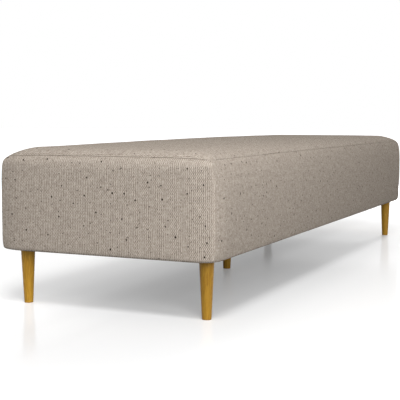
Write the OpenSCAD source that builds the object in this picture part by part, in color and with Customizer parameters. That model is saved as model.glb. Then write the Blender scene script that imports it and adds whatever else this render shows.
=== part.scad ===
// A long upholstered bench: a box-shaped padded seat in woven fabric on five tapered wooden legs.
// +X runs along the length, the front long side faces -Y, and +Z is up.
// The origin is on the floor under the middle of the bench. All sizes are in millimetres.

/* [Bench] */
// Length over the two end covers
bench_l = 2000; // [1500:10:2200]
// Width over the two long covers
bench_w = 624; // [500:2:760]
// Height of the dust cover above the floor, which is the visible length of the legs
leg_h = 150; // [90:1:220]
// Height of the wooden frame
frame_h = 188; // [160:1:210]
// Height of the seam round the top panel above the top of the frame
seam_h = 67; // [50:1:110]

/* [Legs] */
// Diameter of a leg where it meets the bench
leg_top_d = 39; // [30:0.5:48]
// Diameter of a leg at the floor
leg_foot_d = 24.5; // [18:0.5:30]
// Chamfer round the foot of a leg
leg_chamfer = 1; // [0.5:0.1:2]
// Distance from the end of the bench to the centre of a corner leg
leg_inset_end = 62; // [55:1:75]
// Distance from the long side of the bench to the centre of a corner leg
leg_inset_side = 44; // [40:1:50]
// Place of the support leg along the bench, from the middle
centre_leg_x = -175; // [-250:5:100]

/* [Leg fittings] */
// Diameter of the bolt that holds a leg
bolt_d = 8; // [6:0.5:8]
// Depth of the bolt in the leg
bolt_in_leg = 40; // [25:1:60]
// Height of the bolt above the top of the leg
bolt_out = 15; // [12:1:18]
// Outer diameter of the threaded insert in the frame
insert_d = 12; // [11:0.5:14]
// Length of the threaded insert
insert_l = 14; // [11:0.5:16]
// Room above the bolt and the insert in their hole
hole_end_room = 1; // [0.5:0.5:2]
// Room round a bolt, an insert or a screw in its hole
hole_fit = 0.1; // [0.05:0.05:0.2]

/* [Frame] */
// Width of the flat rails at the bottom
flat_rail_w = 70; // [60:1:90]
// Thickness of the flat rails at the bottom
flat_rail_t = 22; // [20:1:28]
// Height of the upright rails at the top
top_rail_h = 60; // [50:1:70]
// Thickness of the upright rails at the top
top_rail_t = 25; // [20:1:30]
// Side of a square corner post
post_w = 45; // [36:1:55]
// Thickness of a middle post
mid_post_t = 25; // [20:1:30]
// Thickness of a stretcher between the top rails
stretcher_t = 25; // [18:1:30]
// Height of a stretcher between the top rails
stretcher_h = 32; // [25:1:40]
// Length of a gusset along each of its two square sides
gusset_w = 110; // [80:5:130]
// Thickness of a gusset
gusset_t = 9; // [6:1:12]
// Side of a triangular block in the corners of the top rails
corner_block_w = 60; // [40:1:80]
// How far a corner block stays short of the top and bottom of its rails
corner_block_margin = 5; // [2:1:10]
// Side of the packing block over the support leg
leg_block_w = 100; // [80:1:120]
// Thickness of the board that closes each side of the frame
board_t = 3; // [2:0.5:5]

/* [Screws] */
// Diameter of a screw
screw_d = 4.5; // [3.5:0.1:6]
// Diameter of a screw's countersunk head
screw_head_d = 9; // [7:0.1:10]
// Length of a screw up through the bottom frame into a post
post_screw_l = 70; // [55:1:80]
// Distance of a corner post's screw from the outside of the frame
post_screw_in = 17; // [13:1:20]
// Length of a screw into the end of a rail or stretcher
rail_screw_l = 60; // [45:1:75]
// Distance of a top rail's end screws from its top and bottom
rail_screw_margin = 15; // [10:1:18]
// Length of a screw through the packing block
block_screw_l = 36; // [30:1:40]
// Distance of the packing block's screws from its middle
block_screw_off = 25; // [20:1:26]

/* [Webbing and sheets] */
// Width of a webbing strap
web_w = 70; // [50:1:80]
// Thickness of a webbing strap
web_t = 1.5; // [1:0.1:2]
// Distance between the straps that run across the bench
web_pitch = 110; // [100:1:140]
// Distance between the straps that run along the bench
web_pitch_long = 120; // [100:1:140]
// Distance from the end of a strap to the outside of the frame
web_edge = 3; // [1:0.5:8]
// Least distance from an end rail to the first strap across the bench
web_end_gap = 15; // [8:1:30]
// Flat length on each side of a crossing before a strap bends
web_crossing = 3; // [1:0.5:6]
// Thickness of the cloth between the webbing and the foam
deck_t = 0.5; // [0.3:0.1:1]
// Thickness of the dust cover under the bench
dust_t = 0.5; // [0.3:0.1:1]
// Distance between the staples in the dust cover
dust_staple_pitch = 100; // [60:5:150]
// Length of a staple's crown
staple_l = 10; // [8:0.5:13]
// Width of a staple's crown
staple_w = 1.2; // [0.8:0.1:2]
// Height of a staple's crown above the cloth
staple_h = 0.8; // [0.5:0.1:1.2]
// Distance of a staple from the edge of its cloth or strap
staple_margin = 9; // [6:0.5:14]

/* [Cover and padding] */
// Thickness of the cover fabric with its backing
cover_t = 1.5; // [1:0.1:2.5]
// Thickness of the foam on the sides of the frame
side_foam_t = 15; // [10:0.5:25]
// Room between the foam and the cover
foam_fit = 0.5; // [0.4:0.1:1]
// Gap between two cover panels at their seam
seam_gap = 0.3; // [0.2:0.05:0.5]
// Radius of the roll at the bottom edge of the sides
bottom_r = 8; // [5:0.5:12]
// Width of the hem that the side covers turn under the frame
hem_w = 60; // [50:1:70]
// Rise of the top panel over its rolled edges
top_rise = 20; // [12:0.5:30]
// Rise of the crown in the middle of the top panel
crown_rise = 8; // [2:0.5:14]
// Width of the rolled edge of the top panel at the ends
end_roll_w = 39; // [30:1:80]
// Width of the rolled edge of the top panel at the long sides
side_roll_w = 102; // [60:1:120]
// Fullness of the rolled edge, where 2 is an ellipse
roll_fullness = 1.62; // [1.4:0.01:2.4]
// How far the end covers lean in at the top seam
end_lean = 19; // [6:0.5:22]
// Height over which the end covers lean in
end_lean_h = 20; // [18:1:45]
// How far the long covers lean in at the top seam
side_lean = 12; // [4:0.5:18]
// Height over which the long covers lean in
side_lean_h = 73; // [40:1:80]
// How far the end covers are drawn in at the corner seams
end_pull = 6.5; // [2:0.5:8]
// Width over which the end covers are drawn in
end_pull_w = 63; // [40:1:80]
// How far the long covers are drawn in at the corner seams
side_pull = 1.5; // [0.5:0.5:6]
// Width over which the long covers are drawn in
side_pull_w = 120; // [60:1:140]

/* [Hidden] */
$fn = 48;

fabric = "#a3988a";
leg_wood = "#b48a45";
pine = "#dcc193";
plywood = "#c9a873";
fibreboard = "#8d7250";
foam = "#efe7c8";
strap = "#cfc8b8";
steel = "#9b9b9b";
zinc = "#c8c4b4";
dust_cloth = "#2e2c2b";
deck_cloth_colour = "#e9e6dd";

half_l = bench_l / 2;
half_w = bench_w / 2;

// Padding outside the frame on every side
frame_inset = cover_t + foam_fit + side_foam_t + board_t;
frame_hl = half_l - frame_inset;
frame_hw = half_w - frame_inset;

// Heights of the layers, from the dust cover up
z_dust = leg_h;
z_hem = z_dust + dust_t;
z_frame = z_hem + cover_t;
z_flat_top = z_frame + flat_rail_t;
z_cross_top = z_flat_top + flat_rail_t;
z_frame_top = z_frame + frame_h;
z_top_rail = z_frame_top - top_rail_h;
z_deck = z_frame_top + 2 * web_t;
z_foam = z_deck + deck_t;
z_seam = z_frame_top + seam_h;
z_hole_top = max(z_frame + insert_l, z_dust + bolt_out) + hole_end_room;

// How far a cut runs past the face that it opens
past = 1;

leg_x = half_l - leg_inset_end;
leg_y = half_w - leg_inset_side;
corner_legs = [[-leg_x, -leg_y], [leg_x, -leg_y], [-leg_x, leg_y], [leg_x, leg_y]];
all_legs = concat(corner_legs, [[centre_leg_x, 0]]);

// Cross rails: one over the support leg, one to its left and two to its right, evenly spread
bay_l = (frame_hl + centre_leg_x) / 2;
bay_r = (frame_hl - centre_leg_x) / 3;
cross_x = [centre_leg_x - bay_l, centre_leg_x, centre_leg_x + bay_r, centre_leg_x + 2 * bay_r];

// Screws up through the bottom frame into the posts
corner_post_x = frame_hl - post_w / 2;
corner_post_y = frame_hw - post_w / 2;
mid_post_y = frame_hw - mid_post_t / 2;
corner_screw_x = frame_hl - post_screw_in;
corner_screw_y = frame_hw - post_screw_in;

// Screws through the top rails into the end rails and the stretchers
end_rail_x = frame_hl - top_rail_t / 2;
rail_screw_low = z_top_rail + rail_screw_margin;
rail_screw_high = z_frame_top - rail_screw_margin;
stretcher_screw_z = z_top_rail + stretcher_h / 2;

// Straps across the bench, spread evenly along the frame
web_count = floor((2 * (frame_hl - top_rail_t - web_end_gap) - web_w) / web_pitch) + 1;
web_x = [for (i = [0:web_count - 1]) (i - (web_count - 1) / 2) * web_pitch];
web_long_count = 4;
web_y = [for (j = [0:web_long_count - 1]) (j - (web_long_count - 1) / 2) * web_pitch_long];

// Rows and columns of the soft forms: close together at the rolls, wide apart on the flats
seam_half = seam_gap / 2;
lean_curve = 2.6;
roll_steps = 3;
wall_steps = 10;
wall_spread = 2.4;
last_row = roll_steps + 1 + wall_steps;
split_row = last_row - 3;
foam_row = last_row - 5;
edge_steps = 5;
edge_spread = 1.5;
long_steps = 6;
short_steps = 2;
long_spread = 1.6;

// Distances from a corner at which a panel has its columns
function edge_marks(roll, half, steps) = concat(
    [for (i = [0:edge_steps]) roll * pow(i / edge_steps, edge_spread)],
    [for (i = [1:steps]) roll + (half - roll) * pow(i / steps, long_spread)]);

// The same as shares of the half length, from -1 at one corner to 1 at the other
function shares(marks, half) = let (n = len(marks)) concat(
    [for (i = [0:n - 1]) marks[i] / half - 1],
    [for (i = [n - 2:-1:0]) 1 - marks[i] / half]);

along = shares(edge_marks(end_roll_w, half_l, long_steps), half_l);
across = shares(edge_marks(side_roll_w, half_w, short_steps), half_w);
long_n = len(along);
short_n = len(across);

// How far a face is drawn in at distance d from its seam, and how steeply
function drawn(d, depth, reach) =
    d < reach ? depth * pow(1 - max(d, 0) / reach, lean_curve) : 0;
function steepness(d, depth, reach) =
    d < reach ? depth * lean_curve / reach * pow(1 - max(d, 0) / reach, lean_curve - 1) : 0;

// Height of a wall row, for a face that lies inset from the outside of the cover
function roll_angle(k) = 90 * (k - 1) / roll_steps;
function wall_z(k) = let (t = (last_row - k) / wall_steps)
    z_seam - seam_half - (z_seam - seam_half - z_hem - bottom_r) * pow(t, wall_spread);
function row_z(k, inset) =
    k == 0 ? z_hem + inset :
    k <= roll_steps + 1 ? z_hem + bottom_r - (bottom_r - inset) * cos(roll_angle(k)) :
    wall_z(k);

// How far a row lies inside the outside of the wall, before it leans in
function row_sink(k, inset) =
    k == 0 ? bottom_r + hem_w :
    k <= roll_steps + 1 ? bottom_r - (bottom_r - inset) * sin(roll_angle(k)) : 0;
function lean(k, inset, depth, reach) = let (d = z_seam - row_z(k, inset))
    row_sink(k, inset) + drawn(d, depth, reach)
    + (k > roll_steps + 1 ? inset * sqrt(1 + pow(steepness(d, depth, reach), 2)) : 0);

// Half length and half width of the ring of walls at its corners
function corner_x(k, inset) = half_l - lean(k, inset, end_lean, end_lean_h) - end_pull;
function corner_y(k, inset) = half_w - lean(k, inset, side_lean, side_lean_h) - side_pull;

// A point on the front wall at share a of the length, and on the left wall at share b of the width
function front_point(a, k, inset, gap) = [
    a * (corner_x(k, inset) - gap),
    -(half_w - lean(k, inset, side_lean, side_lean_h)
        - drawn((1 - abs(a)) * half_l, side_pull, side_pull_w)),
    row_z(k, inset)];
function left_point(b, k, inset, gap) = [
    -(half_l - lean(k, inset, end_lean, end_lean_h)
        - drawn((1 - abs(b)) * half_w, end_pull, end_pull_w)),
    b * (corner_y(k, inset) - gap),
    row_z(k, inset)];

// Rise of the rolled edge at distance d from the seam, from 0 to 1
function roll(d, width) = let (t = min(max(d / width, 0), 1))
    pow(1 - pow(1 - t, roll_fullness), 1 / roll_fullness);

// A point on the top panel at shares a and b, with its border at the seam
function top_point(a, b, inset) = let (
    reach_x = -left_point(b, last_row, inset, 0)[0],
    reach_y = -front_point(a, last_row, inset, 0)[1],
    rise = (top_rise - inset) * roll((1 - abs(a)) * reach_x, end_roll_w)
        * roll((1 - abs(b)) * reach_y, side_roll_w),
    crown = crown_rise * (1 - a * a) * (1 - b * b))
    [a * reach_x, b * reach_y, z_seam + rise + crown];

// Two triangles on the corners a, b, c, d of a quad
function quad(a, b, c, d) = [[a, b, c], [a, c, d]];

// Faces of a closed sheet between an outer and an inner grid of rows by cols points
function sheet_faces(rows, cols) = let (
    out = function(r, c) r * cols + c,
    inn = function(r, c) rows * cols + r * cols + c,
    top = rows - 1,
    end = cols - 1) concat(
    [for (r = [0:rows - 2], c = [0:cols - 2]) each
        quad(out(r, c), out(r + 1, c), out(r + 1, c + 1), out(r, c + 1))],
    [for (r = [0:rows - 2], c = [0:cols - 2]) each
        quad(inn(r, c), inn(r, c + 1), inn(r + 1, c + 1), inn(r + 1, c))],
    [for (c = [0:cols - 2]) each quad(out(0, c), out(0, c + 1), inn(0, c + 1), inn(0, c))],
    [for (c = [0:cols - 2]) each
        quad(out(top, c + 1), out(top, c), inn(top, c), inn(top, c + 1))],
    [for (r = [0:rows - 2]) each quad(out(r + 1, 0), out(r, 0), inn(r, 0), inn(r + 1, 0))],
    [for (r = [0:rows - 2]) each
        quad(out(r + 1, end), inn(r + 1, end), inn(r, end), out(r, end))]);

// Border of the top grid as [row, column] pairs, once round from the front left corner
border = concat(
    [for (c = [0:long_n - 2]) [0, c]],
    [for (r = [0:short_n - 2]) [r, long_n - 1]],
    [for (c = [long_n - 1:-1:1]) [short_n - 1, c]],
    [for (r = [short_n - 1:-1:1]) [r, 0]]);

// The wall's point under one place of that border
function turned(p) = [-p[0], -p[1], p[2]];
function wall_point(place, k, inset) =
    place[0] == 0 ? front_point(along[place[1]], k, inset, 0) :
    place[0] == short_n - 1 ? turned(front_point(-along[place[1]], k, inset, 0)) :
    place[1] == 0 ? left_point(across[place[0]], k, inset, 0) :
    turned(left_point(-across[place[0]], k, inset, 0));
function ring(k, inset) = [for (place = border) wall_point(place, k, inset)];
function at_height(points, z) = [for (p = points) [p[0], p[1], z]];

// Faces between two rings of n points that start at point numbers low and high
function band(low, high, n) = [for (i = [0:n - 1]) each
    quad(low + i, high + i, high + (i + 1) % n, low + (i + 1) % n)];

// One child in each corner of a rectangle of half sides x and y
module at_corners(x, y) {
    for (sx = [-1, 1], sy = [-1, 1]) {
        translate([sx * x, sy * y, 0]) children();
    }
}

// One child over the middle of each leg
module at_legs() {
    for (p = all_legs) {
        translate([p[0], p[1], 0]) children();
    }
}

// A block between two limits in x, in y and in z
module box(x, y, z) {
    translate([x[0], y[0], z[0]]) cube([x[1] - x[0], y[1] - y[0], z[1] - z[0]]);
}

// A countersunk screw with its head at the origin and its shank along +Z, made bigger by fit
module screw(length, fit = 0) {
    r = screw_d / 2 + fit;
    head_r = screw_head_d / 2 + fit;
    rotate_extrude() {
        polygon([[0, 0], [head_r, 0], [r, head_r - r], [r, length + fit], [0, length + fit]]);
    }
}

module post_screw_places() {
    at_corners(corner_screw_x, corner_screw_y) children();
    for (x = cross_x, side = [-1, 1]) {
        translate([x, side * mid_post_y, 0]) children();
    }
}

module all_post_screws(fit = 0) {
    post_screw_places() translate([0, 0, z_frame]) screw(post_screw_l, fit);
}

module all_block_screws(fit = 0) {
    for (sx = [-1, 1], sy = [-1, 1]) {
        translate([centre_leg_x + sx * block_screw_off, sy * block_screw_off, z_hem]) {
            screw(block_screw_l, fit);
        }
    }
}

module all_rail_screws(fit = 0) {
    for (side = [0, 180]) {
        rotate([0, 0, side]) {
            for (end = [-1, 1], z = [rail_screw_low, rail_screw_high]) {
                translate([end * end_rail_x, -frame_hw, z]) {
                    rotate([-90, 0, 0]) screw(rail_screw_l, fit);
                }
            }
            for (x = cross_x) {
                translate([side == 0 ? x : -x, -frame_hw, stretcher_screw_z]) {
                    rotate([-90, 0, 0]) screw(rail_screw_l, fit);
                }
            }
        }
    }
}

// Holes for the inserts, up from the underside of the frame
module insert_holes() {
    at_legs() {
        translate([0, 0, z_dust]) cylinder(d = insert_d + 2 * hole_fit, h = z_hole_top - z_dust);
    }
}

// Holes for the leg bolts through the cloths under the frame
module bolt_holes() {
    at_legs() {
        translate([0, 0, z_dust - past]) {
            cylinder(d = bolt_d + 2 * hole_fit, h = z_frame - z_dust + 2 * past);
        }
    }
}

module leg(place) {
    color(leg_wood) translate([place[0], place[1], 0]) {
        difference() {
            rotate_extrude() {
                polygon([
                    [0, 0],
                    [leg_foot_d / 2 - leg_chamfer, 0],
                    [leg_foot_d / 2, leg_chamfer],
                    [leg_top_d / 2, leg_h],
                    [0, leg_h]]);
            }
            translate([0, 0, leg_h - bolt_in_leg - hole_fit]) {
                cylinder(d = bolt_d + 2 * hole_fit, h = bolt_in_leg + hole_fit + past);
            }
        }
    }
}

module leg_bolts() {
    color(steel) at_legs() {
        translate([0, 0, leg_h - bolt_in_leg]) cylinder(d = bolt_d, h = bolt_in_leg + bolt_out);
    }
}

module threaded_inserts() {
    color(zinc) at_legs() {
        translate([0, 0, z_frame]) {
            difference() {
                cylinder(d = insert_d, h = insert_l);
                translate([0, 0, -past]) cylinder(d = bolt_d + 2 * hole_fit, h = insert_l + 2 * past);
            }
        }
    }
}

// Flat rails along the front and the back, at side -1 and 1
module bottom_long_rail(side) {
    color(pine) difference() {
        translate([-frame_hl, side < 0 ? -frame_hw : frame_hw - flat_rail_w, z_frame]) {
            cube([2 * frame_hl, flat_rail_w, flat_rail_t]);
        }
        insert_holes();
        all_post_screws(hole_fit);
    }
}

module bottom_end_rail(end) {
    color(pine) difference() {
        translate([end < 0 ? -frame_hl : frame_hl - flat_rail_w, -frame_hw + flat_rail_w, z_frame]) {
            cube([flat_rail_w, 2 * (frame_hw - flat_rail_w), flat_rail_t]);
        }
        insert_holes();
    }
}

module cross_rail(x) {
    color(pine) difference() {
        box([x - flat_rail_w / 2, x + flat_rail_w / 2], [-frame_hw, frame_hw], [z_flat_top, z_cross_top]);
        all_post_screws(hole_fit);
        all_block_screws(hole_fit);
    }
}

// Packing under the middle cross rail, which brings the support leg level with the others
module centre_leg_block() {
    color(plywood) difference() {
        translate([centre_leg_x - leg_block_w / 2, -leg_block_w / 2, z_hem]) {
            cube([leg_block_w, leg_block_w, z_flat_top - z_hem]);
        }
        insert_holes();
        all_block_screws(hole_fit);
    }
}

module corner_post(end, side) {
    color(pine) difference() {
        translate([end * corner_post_x - post_w / 2, side * corner_post_y - post_w / 2, z_flat_top]) {
            cube([post_w, post_w, z_top_rail - z_flat_top]);
        }
        all_post_screws(hole_fit);
    }
}

module mid_posts(side) {
    color(pine) difference() {
        for (x = cross_x) {
            translate([x - post_w / 2, side * mid_post_y - mid_post_t / 2, z_cross_top]) {
                cube([post_w, mid_post_t, z_top_rail - z_cross_top]);
            }
        }
        all_post_screws(hole_fit);
    }
}

module top_long_rail(side) {
    color(pine) difference() {
        translate([-frame_hl, side < 0 ? -frame_hw : frame_hw - top_rail_t, z_top_rail]) {
            cube([2 * frame_hl, top_rail_t, top_rail_h]);
        }
        all_rail_screws(hole_fit);
    }
}

module top_end_rail(end) {
    color(pine) difference() {
        translate([end * end_rail_x - top_rail_t / 2, -frame_hw + top_rail_t, z_top_rail]) {
            cube([top_rail_t, 2 * (frame_hw - top_rail_t), top_rail_h]);
        }
        all_rail_screws(hole_fit);
    }
}

module stretcher(x) {
    color(pine) difference() {
        translate([x - stretcher_t / 2, -frame_hw + top_rail_t, z_top_rail]) {
            cube([stretcher_t, 2 * (frame_hw - top_rail_t), stretcher_h]);
        }
        all_rail_screws(hole_fit);
    }
}

// Triangular plates over the joints of the bottom frame, inside the corner posts
module corner_gussets() {
    color(plywood) for (end = [-1, 1], side = [-1, 1]) {
        translate([end * (frame_hl - post_w), side * (frame_hw - post_w), z_flat_top]) {
            mirror([end < 0 ? 0 : 1, 0, 0]) mirror([0, side < 0 ? 0 : 1, 0]) {
                linear_extrude(gusset_t) polygon([[0, 0], [gusset_w, 0], [0, gusset_w]]);
            }
        }
    }
}

// Glued blocks in the corners of the top rails
module corner_blocks() {
    color(pine) for (end = [-1, 1], side = [-1, 1]) {
        translate([end * (frame_hl - top_rail_t), side * (frame_hw - top_rail_t), z_top_rail]) {
            mirror([end < 0 ? 0 : 1, 0, 0]) mirror([0, side < 0 ? 0 : 1, 0]) {
                translate([0, 0, corner_block_margin]) {
                    linear_extrude(top_rail_h - 2 * corner_block_margin) {
                        polygon([[0, 0], [corner_block_w, 0], [0, corner_block_w]]);
                    }
                }
            }
        }
    }
}

// Thin boards that close the sides of the frame and carry the side foam
module long_board(side) {
    color(fibreboard) translate([-frame_hl - board_t, side < 0 ? -frame_hw - board_t : frame_hw, z_frame]) {
        cube([2 * (frame_hl + board_t), board_t, frame_h]);
    }
}

module end_board(end) {
    color(fibreboard) translate([end < 0 ? -frame_hl - board_t : frame_hl, -frame_hw, z_frame]) {
        cube([board_t, 2 * frame_hw, frame_h]);
    }
}

module webbing_across() {
    color(strap) for (x = web_x) {
        translate([x - web_w / 2, -frame_hw + web_edge, z_frame_top]) {
            cube([web_w, 2 * (frame_hw - web_edge), web_t]);
        }
    }
}

// A strap along the bench, woven over and under the straps across it; phase 0 starts over
module long_strap(phase) {
    reach = web_w / 2 + web_crossing;
    end_out = frame_hl - web_edge;
    end_in = frame_hl - top_rail_t;
    level = [for (i = [0:web_count - 1]) (i + phase) % 2 == 0 ? web_t : -web_t];
    path = concat(
        [[-end_out, 0], [-end_in, 0]],
        [for (i = [0:web_count - 1], s = [-1, 1]) [web_x[i] + s * reach, level[i]]],
        [[end_in, 0], [end_out, 0]]);
    top = [for (i = [len(path) - 1:-1:0]) [path[i][0], path[i][1] + web_t]];
    translate([0, web_w / 2, z_frame_top]) rotate([90, 0, 0]) {
        linear_extrude(web_w) polygon(concat(path, top));
    }
}

module webbing_along() {
    color(strap) for (j = [0:web_long_count - 1]) {
        translate([0, web_y[j], 0]) long_strap(j % 2);
    }
}

// Staples over the ends of every strap, two to an end
module webbing_staples() {
    spread = web_w / 2 - staple_margin - staple_l / 2;
    strap_end_y = frame_hw - web_edge - staple_margin;
    strap_end_x = frame_hl - web_edge - staple_margin;
    color(steel) translate([0, 0, z_frame_top + web_t]) {
        for (x = web_x, side = [-1, 1], s = [-1, 1]) {
            translate([x + s * spread - staple_l / 2, side * strap_end_y - staple_w / 2, 0]) {
                cube([staple_l, staple_w, staple_h]);
            }
        }
        for (y = web_y, end = [-1, 1], s = [-1, 1]) {
            translate([end * strap_end_x - staple_w / 2, y + s * spread - staple_l / 2, 0]) {
                cube([staple_w, staple_l, staple_h]);
            }
        }
    }
}

module deck_cloth() {
    color(deck_cloth_colour) box([-frame_hl, frame_hl], [-frame_hw, frame_hw], [z_deck, z_foam]);
}

// Firm foam over the whole seat, flush with the foam on the sides
module seat_foam_base() {
    inset = cover_t + foam_fit;
    n = len(border);
    rows = [for (k = [foam_row:split_row]) k];
    points = concat(
        at_height(ring(foam_row, inset), z_foam),
        [for (k = rows) if (k > foam_row) each ring(k, inset)]);
    bottom = [for (i = [0:n - 1]) i];
    top = [for (i = [n - 1:-1:0]) (len(rows) - 1) * n + i];
    faces = concat([bottom], [for (i = [0:len(rows) - 2]) each band(i * n, (i + 1) * n, n)], [top]);
    color(foam) polyhedron(points, faces);
}

// Soft crowned foam under the top panel
module seat_foam_top() {
    inset = cover_t + foam_fit;
    n = len(border);
    rings = last_row - split_row;
    grid = [for (b = across, a = along) top_point(a, b, inset)];
    points = concat([for (k = [split_row:last_row - 1]) each ring(k, inset)], grid);
    rim = [for (place = border) rings * n + place[0] * long_n + place[1]];
    last = (rings - 1) * n;
    bottom = [for (i = [0:n - 1]) i];
    faces = concat(
        [bottom],
        [for (i = [0:rings - 2]) each band(i * n, (i + 1) * n, n)],
        [for (i = [0:n - 1]) each quad(last + i, rim[i], rim[(i + 1) % n], last + (i + 1) % n)],
        [for (r = [0:short_n - 2], c = [0:long_n - 2]) each let (p = rings * n + r * long_n + c)
            quad(p, p + long_n, p + long_n + 1, p + 1)]);
    color(foam) polyhedron(points, faces);
}

// Thin foam between the side boards and the covers
module long_foam() {
    inset = cover_t + foam_fit;
    inner_y = -frame_hw - board_t;
    row = roll_steps + 2;
    outer = [for (a = along) let (p = front_point(a, row, inset, 0)) [p[0], p[1]]];
    reach = corner_x(row, inset);
    color(foam) translate([0, 0, z_hem + bottom_r]) {
        linear_extrude(z_foam - z_hem - bottom_r) {
            polygon(concat(outer, [[reach, inner_y], [-reach, inner_y]]));
        }
    }
}

module end_foam() {
    inset = cover_t + foam_fit;
    inner_x = -frame_hl - board_t;
    side_y = frame_hw + board_t;
    row = roll_steps + 2;
    outer = [for (b = across) let (p = left_point(b, row, inset, 0))
        if (abs(p[1]) < side_y - past) [p[0], p[1]]];
    edge_x = left_point(side_y / corner_y(row, inset), row, inset, 0)[0];
    ends = [[edge_x, side_y], [inner_x, side_y], [inner_x, -side_y], [edge_x, -side_y]];
    color(foam) translate([0, 0, z_hem + bottom_r]) {
        linear_extrude(z_foam - z_hem - bottom_r) polygon(concat(outer, ends));
    }
}

// The long cover on the front, with its hem under the frame
module long_cover() {
    points = [for (inset = [0, cover_t], k = [0:last_row], a = along) front_point(a, k, inset, seam_half)];
    color(fabric) difference() {
        polyhedron(points, sheet_faces(last_row + 1, long_n));
        bolt_holes();
    }
}

// The end cover on the left
module end_cover() {
    points = [for (inset = [0, cover_t], k = [0:last_row], i = [short_n - 1:-1:0])
        left_point(across[i], k, inset, seam_half)];
    color(fabric) difference() {
        polyhedron(points, sheet_faces(last_row + 1, short_n));
        bolt_holes();
    }
}

// The top panel, trimmed flat round its rim for the gap at the seam
module cover_top() {
    points = [for (inset = [0, cover_t], b = across, a = along) top_point(a, b, inset)];
    color(fabric) difference() {
        polyhedron(points, sheet_faces(short_n, long_n));
        box([-half_l, half_l], [-half_w, half_w], [z_seam - seam_half, z_seam + seam_half]);
    }
}

module dust_cover() {
    color(dust_cloth) difference() {
        box([-frame_hl, frame_hl], [-frame_hw, frame_hw], [z_dust, z_hem]);
        bolt_holes();
    }
}

// Staples round the edge of the dust cover, left out where a leg stands
module dust_cover_staples() {
    line_x = frame_hl - staple_margin;
    line_y = frame_hw - staple_margin;
    long_count = floor(2 * line_x / dust_staple_pitch);
    short_count = floor(2 * line_y / dust_staple_pitch);
    clear_r = leg_top_d / 2 + staple_l;
    spots = concat(
        [for (i = [0:long_count - 1], s = [-1, 1])
            [(i - (long_count - 1) / 2) * dust_staple_pitch, s * line_y, 0]],
        [for (i = [0:short_count - 1], s = [-1, 1])
            [s * line_x, (i - (short_count - 1) / 2) * dust_staple_pitch, 90]]);
    color(steel) for (spot = spots) {
        if (min([for (p = all_legs) norm([spot[0] - p[0], spot[1] - p[1]])]) > clear_r) {
            translate([spot[0], spot[1], z_dust - staple_h]) rotate([0, 0, spot[2]]) {
                translate([-staple_l / 2, -staple_w / 2, 0]) cube([staple_l, staple_w, staple_h]);
            }
        }
    }
}

module half_turn() {
    rotate([0, 0, 180]) children();
}

leg(corner_legs[0]);  // front_left_leg
leg(corner_legs[1]);  // front_right_leg
leg(corner_legs[2]);  // back_left_leg
leg(corner_legs[3]);  // back_right_leg
leg([centre_leg_x, 0]);  // centre_leg
leg_bolts();
threaded_inserts();
bottom_long_rail(-1);  // front_bottom_rail
bottom_long_rail(1);  // back_bottom_rail
bottom_end_rail(-1);  // left_bottom_rail
bottom_end_rail(1);  // right_bottom_rail
cross_rail(cross_x[0]);  // left_cross_rail
cross_rail(cross_x[1]);  // centre_cross_rail
cross_rail(cross_x[2]);  // inner_right_cross_rail
cross_rail(cross_x[3]);  // outer_right_cross_rail
centre_leg_block();
corner_gussets();
corner_post(-1, -1);  // front_left_post
corner_post(1, -1);  // front_right_post
corner_post(-1, 1);  // back_left_post
corner_post(1, 1);  // back_right_post
mid_posts(-1);  // front_mid_posts
mid_posts(1);  // back_mid_posts
top_long_rail(-1);  // front_top_rail
top_long_rail(1);  // back_top_rail
top_end_rail(-1);  // left_top_rail
top_end_rail(1);  // right_top_rail
stretcher(cross_x[0]);  // left_stretcher
stretcher(cross_x[1]);  // centre_stretcher
stretcher(cross_x[2]);  // inner_right_stretcher
stretcher(cross_x[3]);  // outer_right_stretcher
corner_blocks();
color(steel) all_post_screws();  // post_screws
color(steel) all_rail_screws();  // rail_screws
color(steel) all_block_screws();  // block_screws
long_board(-1);  // front_board
long_board(1);  // back_board
end_board(-1);  // left_board
end_board(1);  // right_board
webbing_across();
webbing_along();
webbing_staples();
deck_cloth();
seat_foam_base();
seat_foam_top();
long_foam();  // front_foam
half_turn() long_foam();  // back_foam
end_foam();  // left_foam
half_turn() end_foam();  // right_foam
cover_top();
long_cover();  // cover_front
half_turn() long_cover();  // cover_back
end_cover();  // cover_left
half_turn() end_cover();  // cover_right
dust_cover();
dust_cover_staples();
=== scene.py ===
"""The looks of a long upholstered bench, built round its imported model.

The cover is five sewn panels over foam, drawn over a wooden frame on tapered legs. All sizes are
in metres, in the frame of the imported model: +X along the bench, -Y to the long side that shows,
+Z up, and the floor at 0.
"""

import logging
import math
from dataclasses import dataclass, field
from enum import Enum
from typing import Callable, Iterable, Sequence

import bmesh
import bpy
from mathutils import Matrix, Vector, noise


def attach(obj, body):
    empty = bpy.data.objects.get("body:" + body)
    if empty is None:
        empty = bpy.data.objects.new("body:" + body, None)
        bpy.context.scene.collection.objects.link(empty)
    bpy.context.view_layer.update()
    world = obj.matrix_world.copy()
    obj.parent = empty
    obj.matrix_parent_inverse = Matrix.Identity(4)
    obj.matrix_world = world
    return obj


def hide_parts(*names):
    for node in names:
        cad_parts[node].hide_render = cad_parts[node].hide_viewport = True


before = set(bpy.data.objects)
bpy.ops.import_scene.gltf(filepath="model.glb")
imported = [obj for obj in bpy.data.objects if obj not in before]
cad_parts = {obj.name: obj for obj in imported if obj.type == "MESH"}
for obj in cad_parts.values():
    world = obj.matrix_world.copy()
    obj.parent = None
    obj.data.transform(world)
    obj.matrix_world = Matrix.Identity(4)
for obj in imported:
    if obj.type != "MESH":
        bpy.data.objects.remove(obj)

LOG = logging.getLogger("bench")
MM = 0.001
BODY = "root"

Colour = tuple[float, float, float]
Place = Callable[[float, float], Vector]


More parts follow.
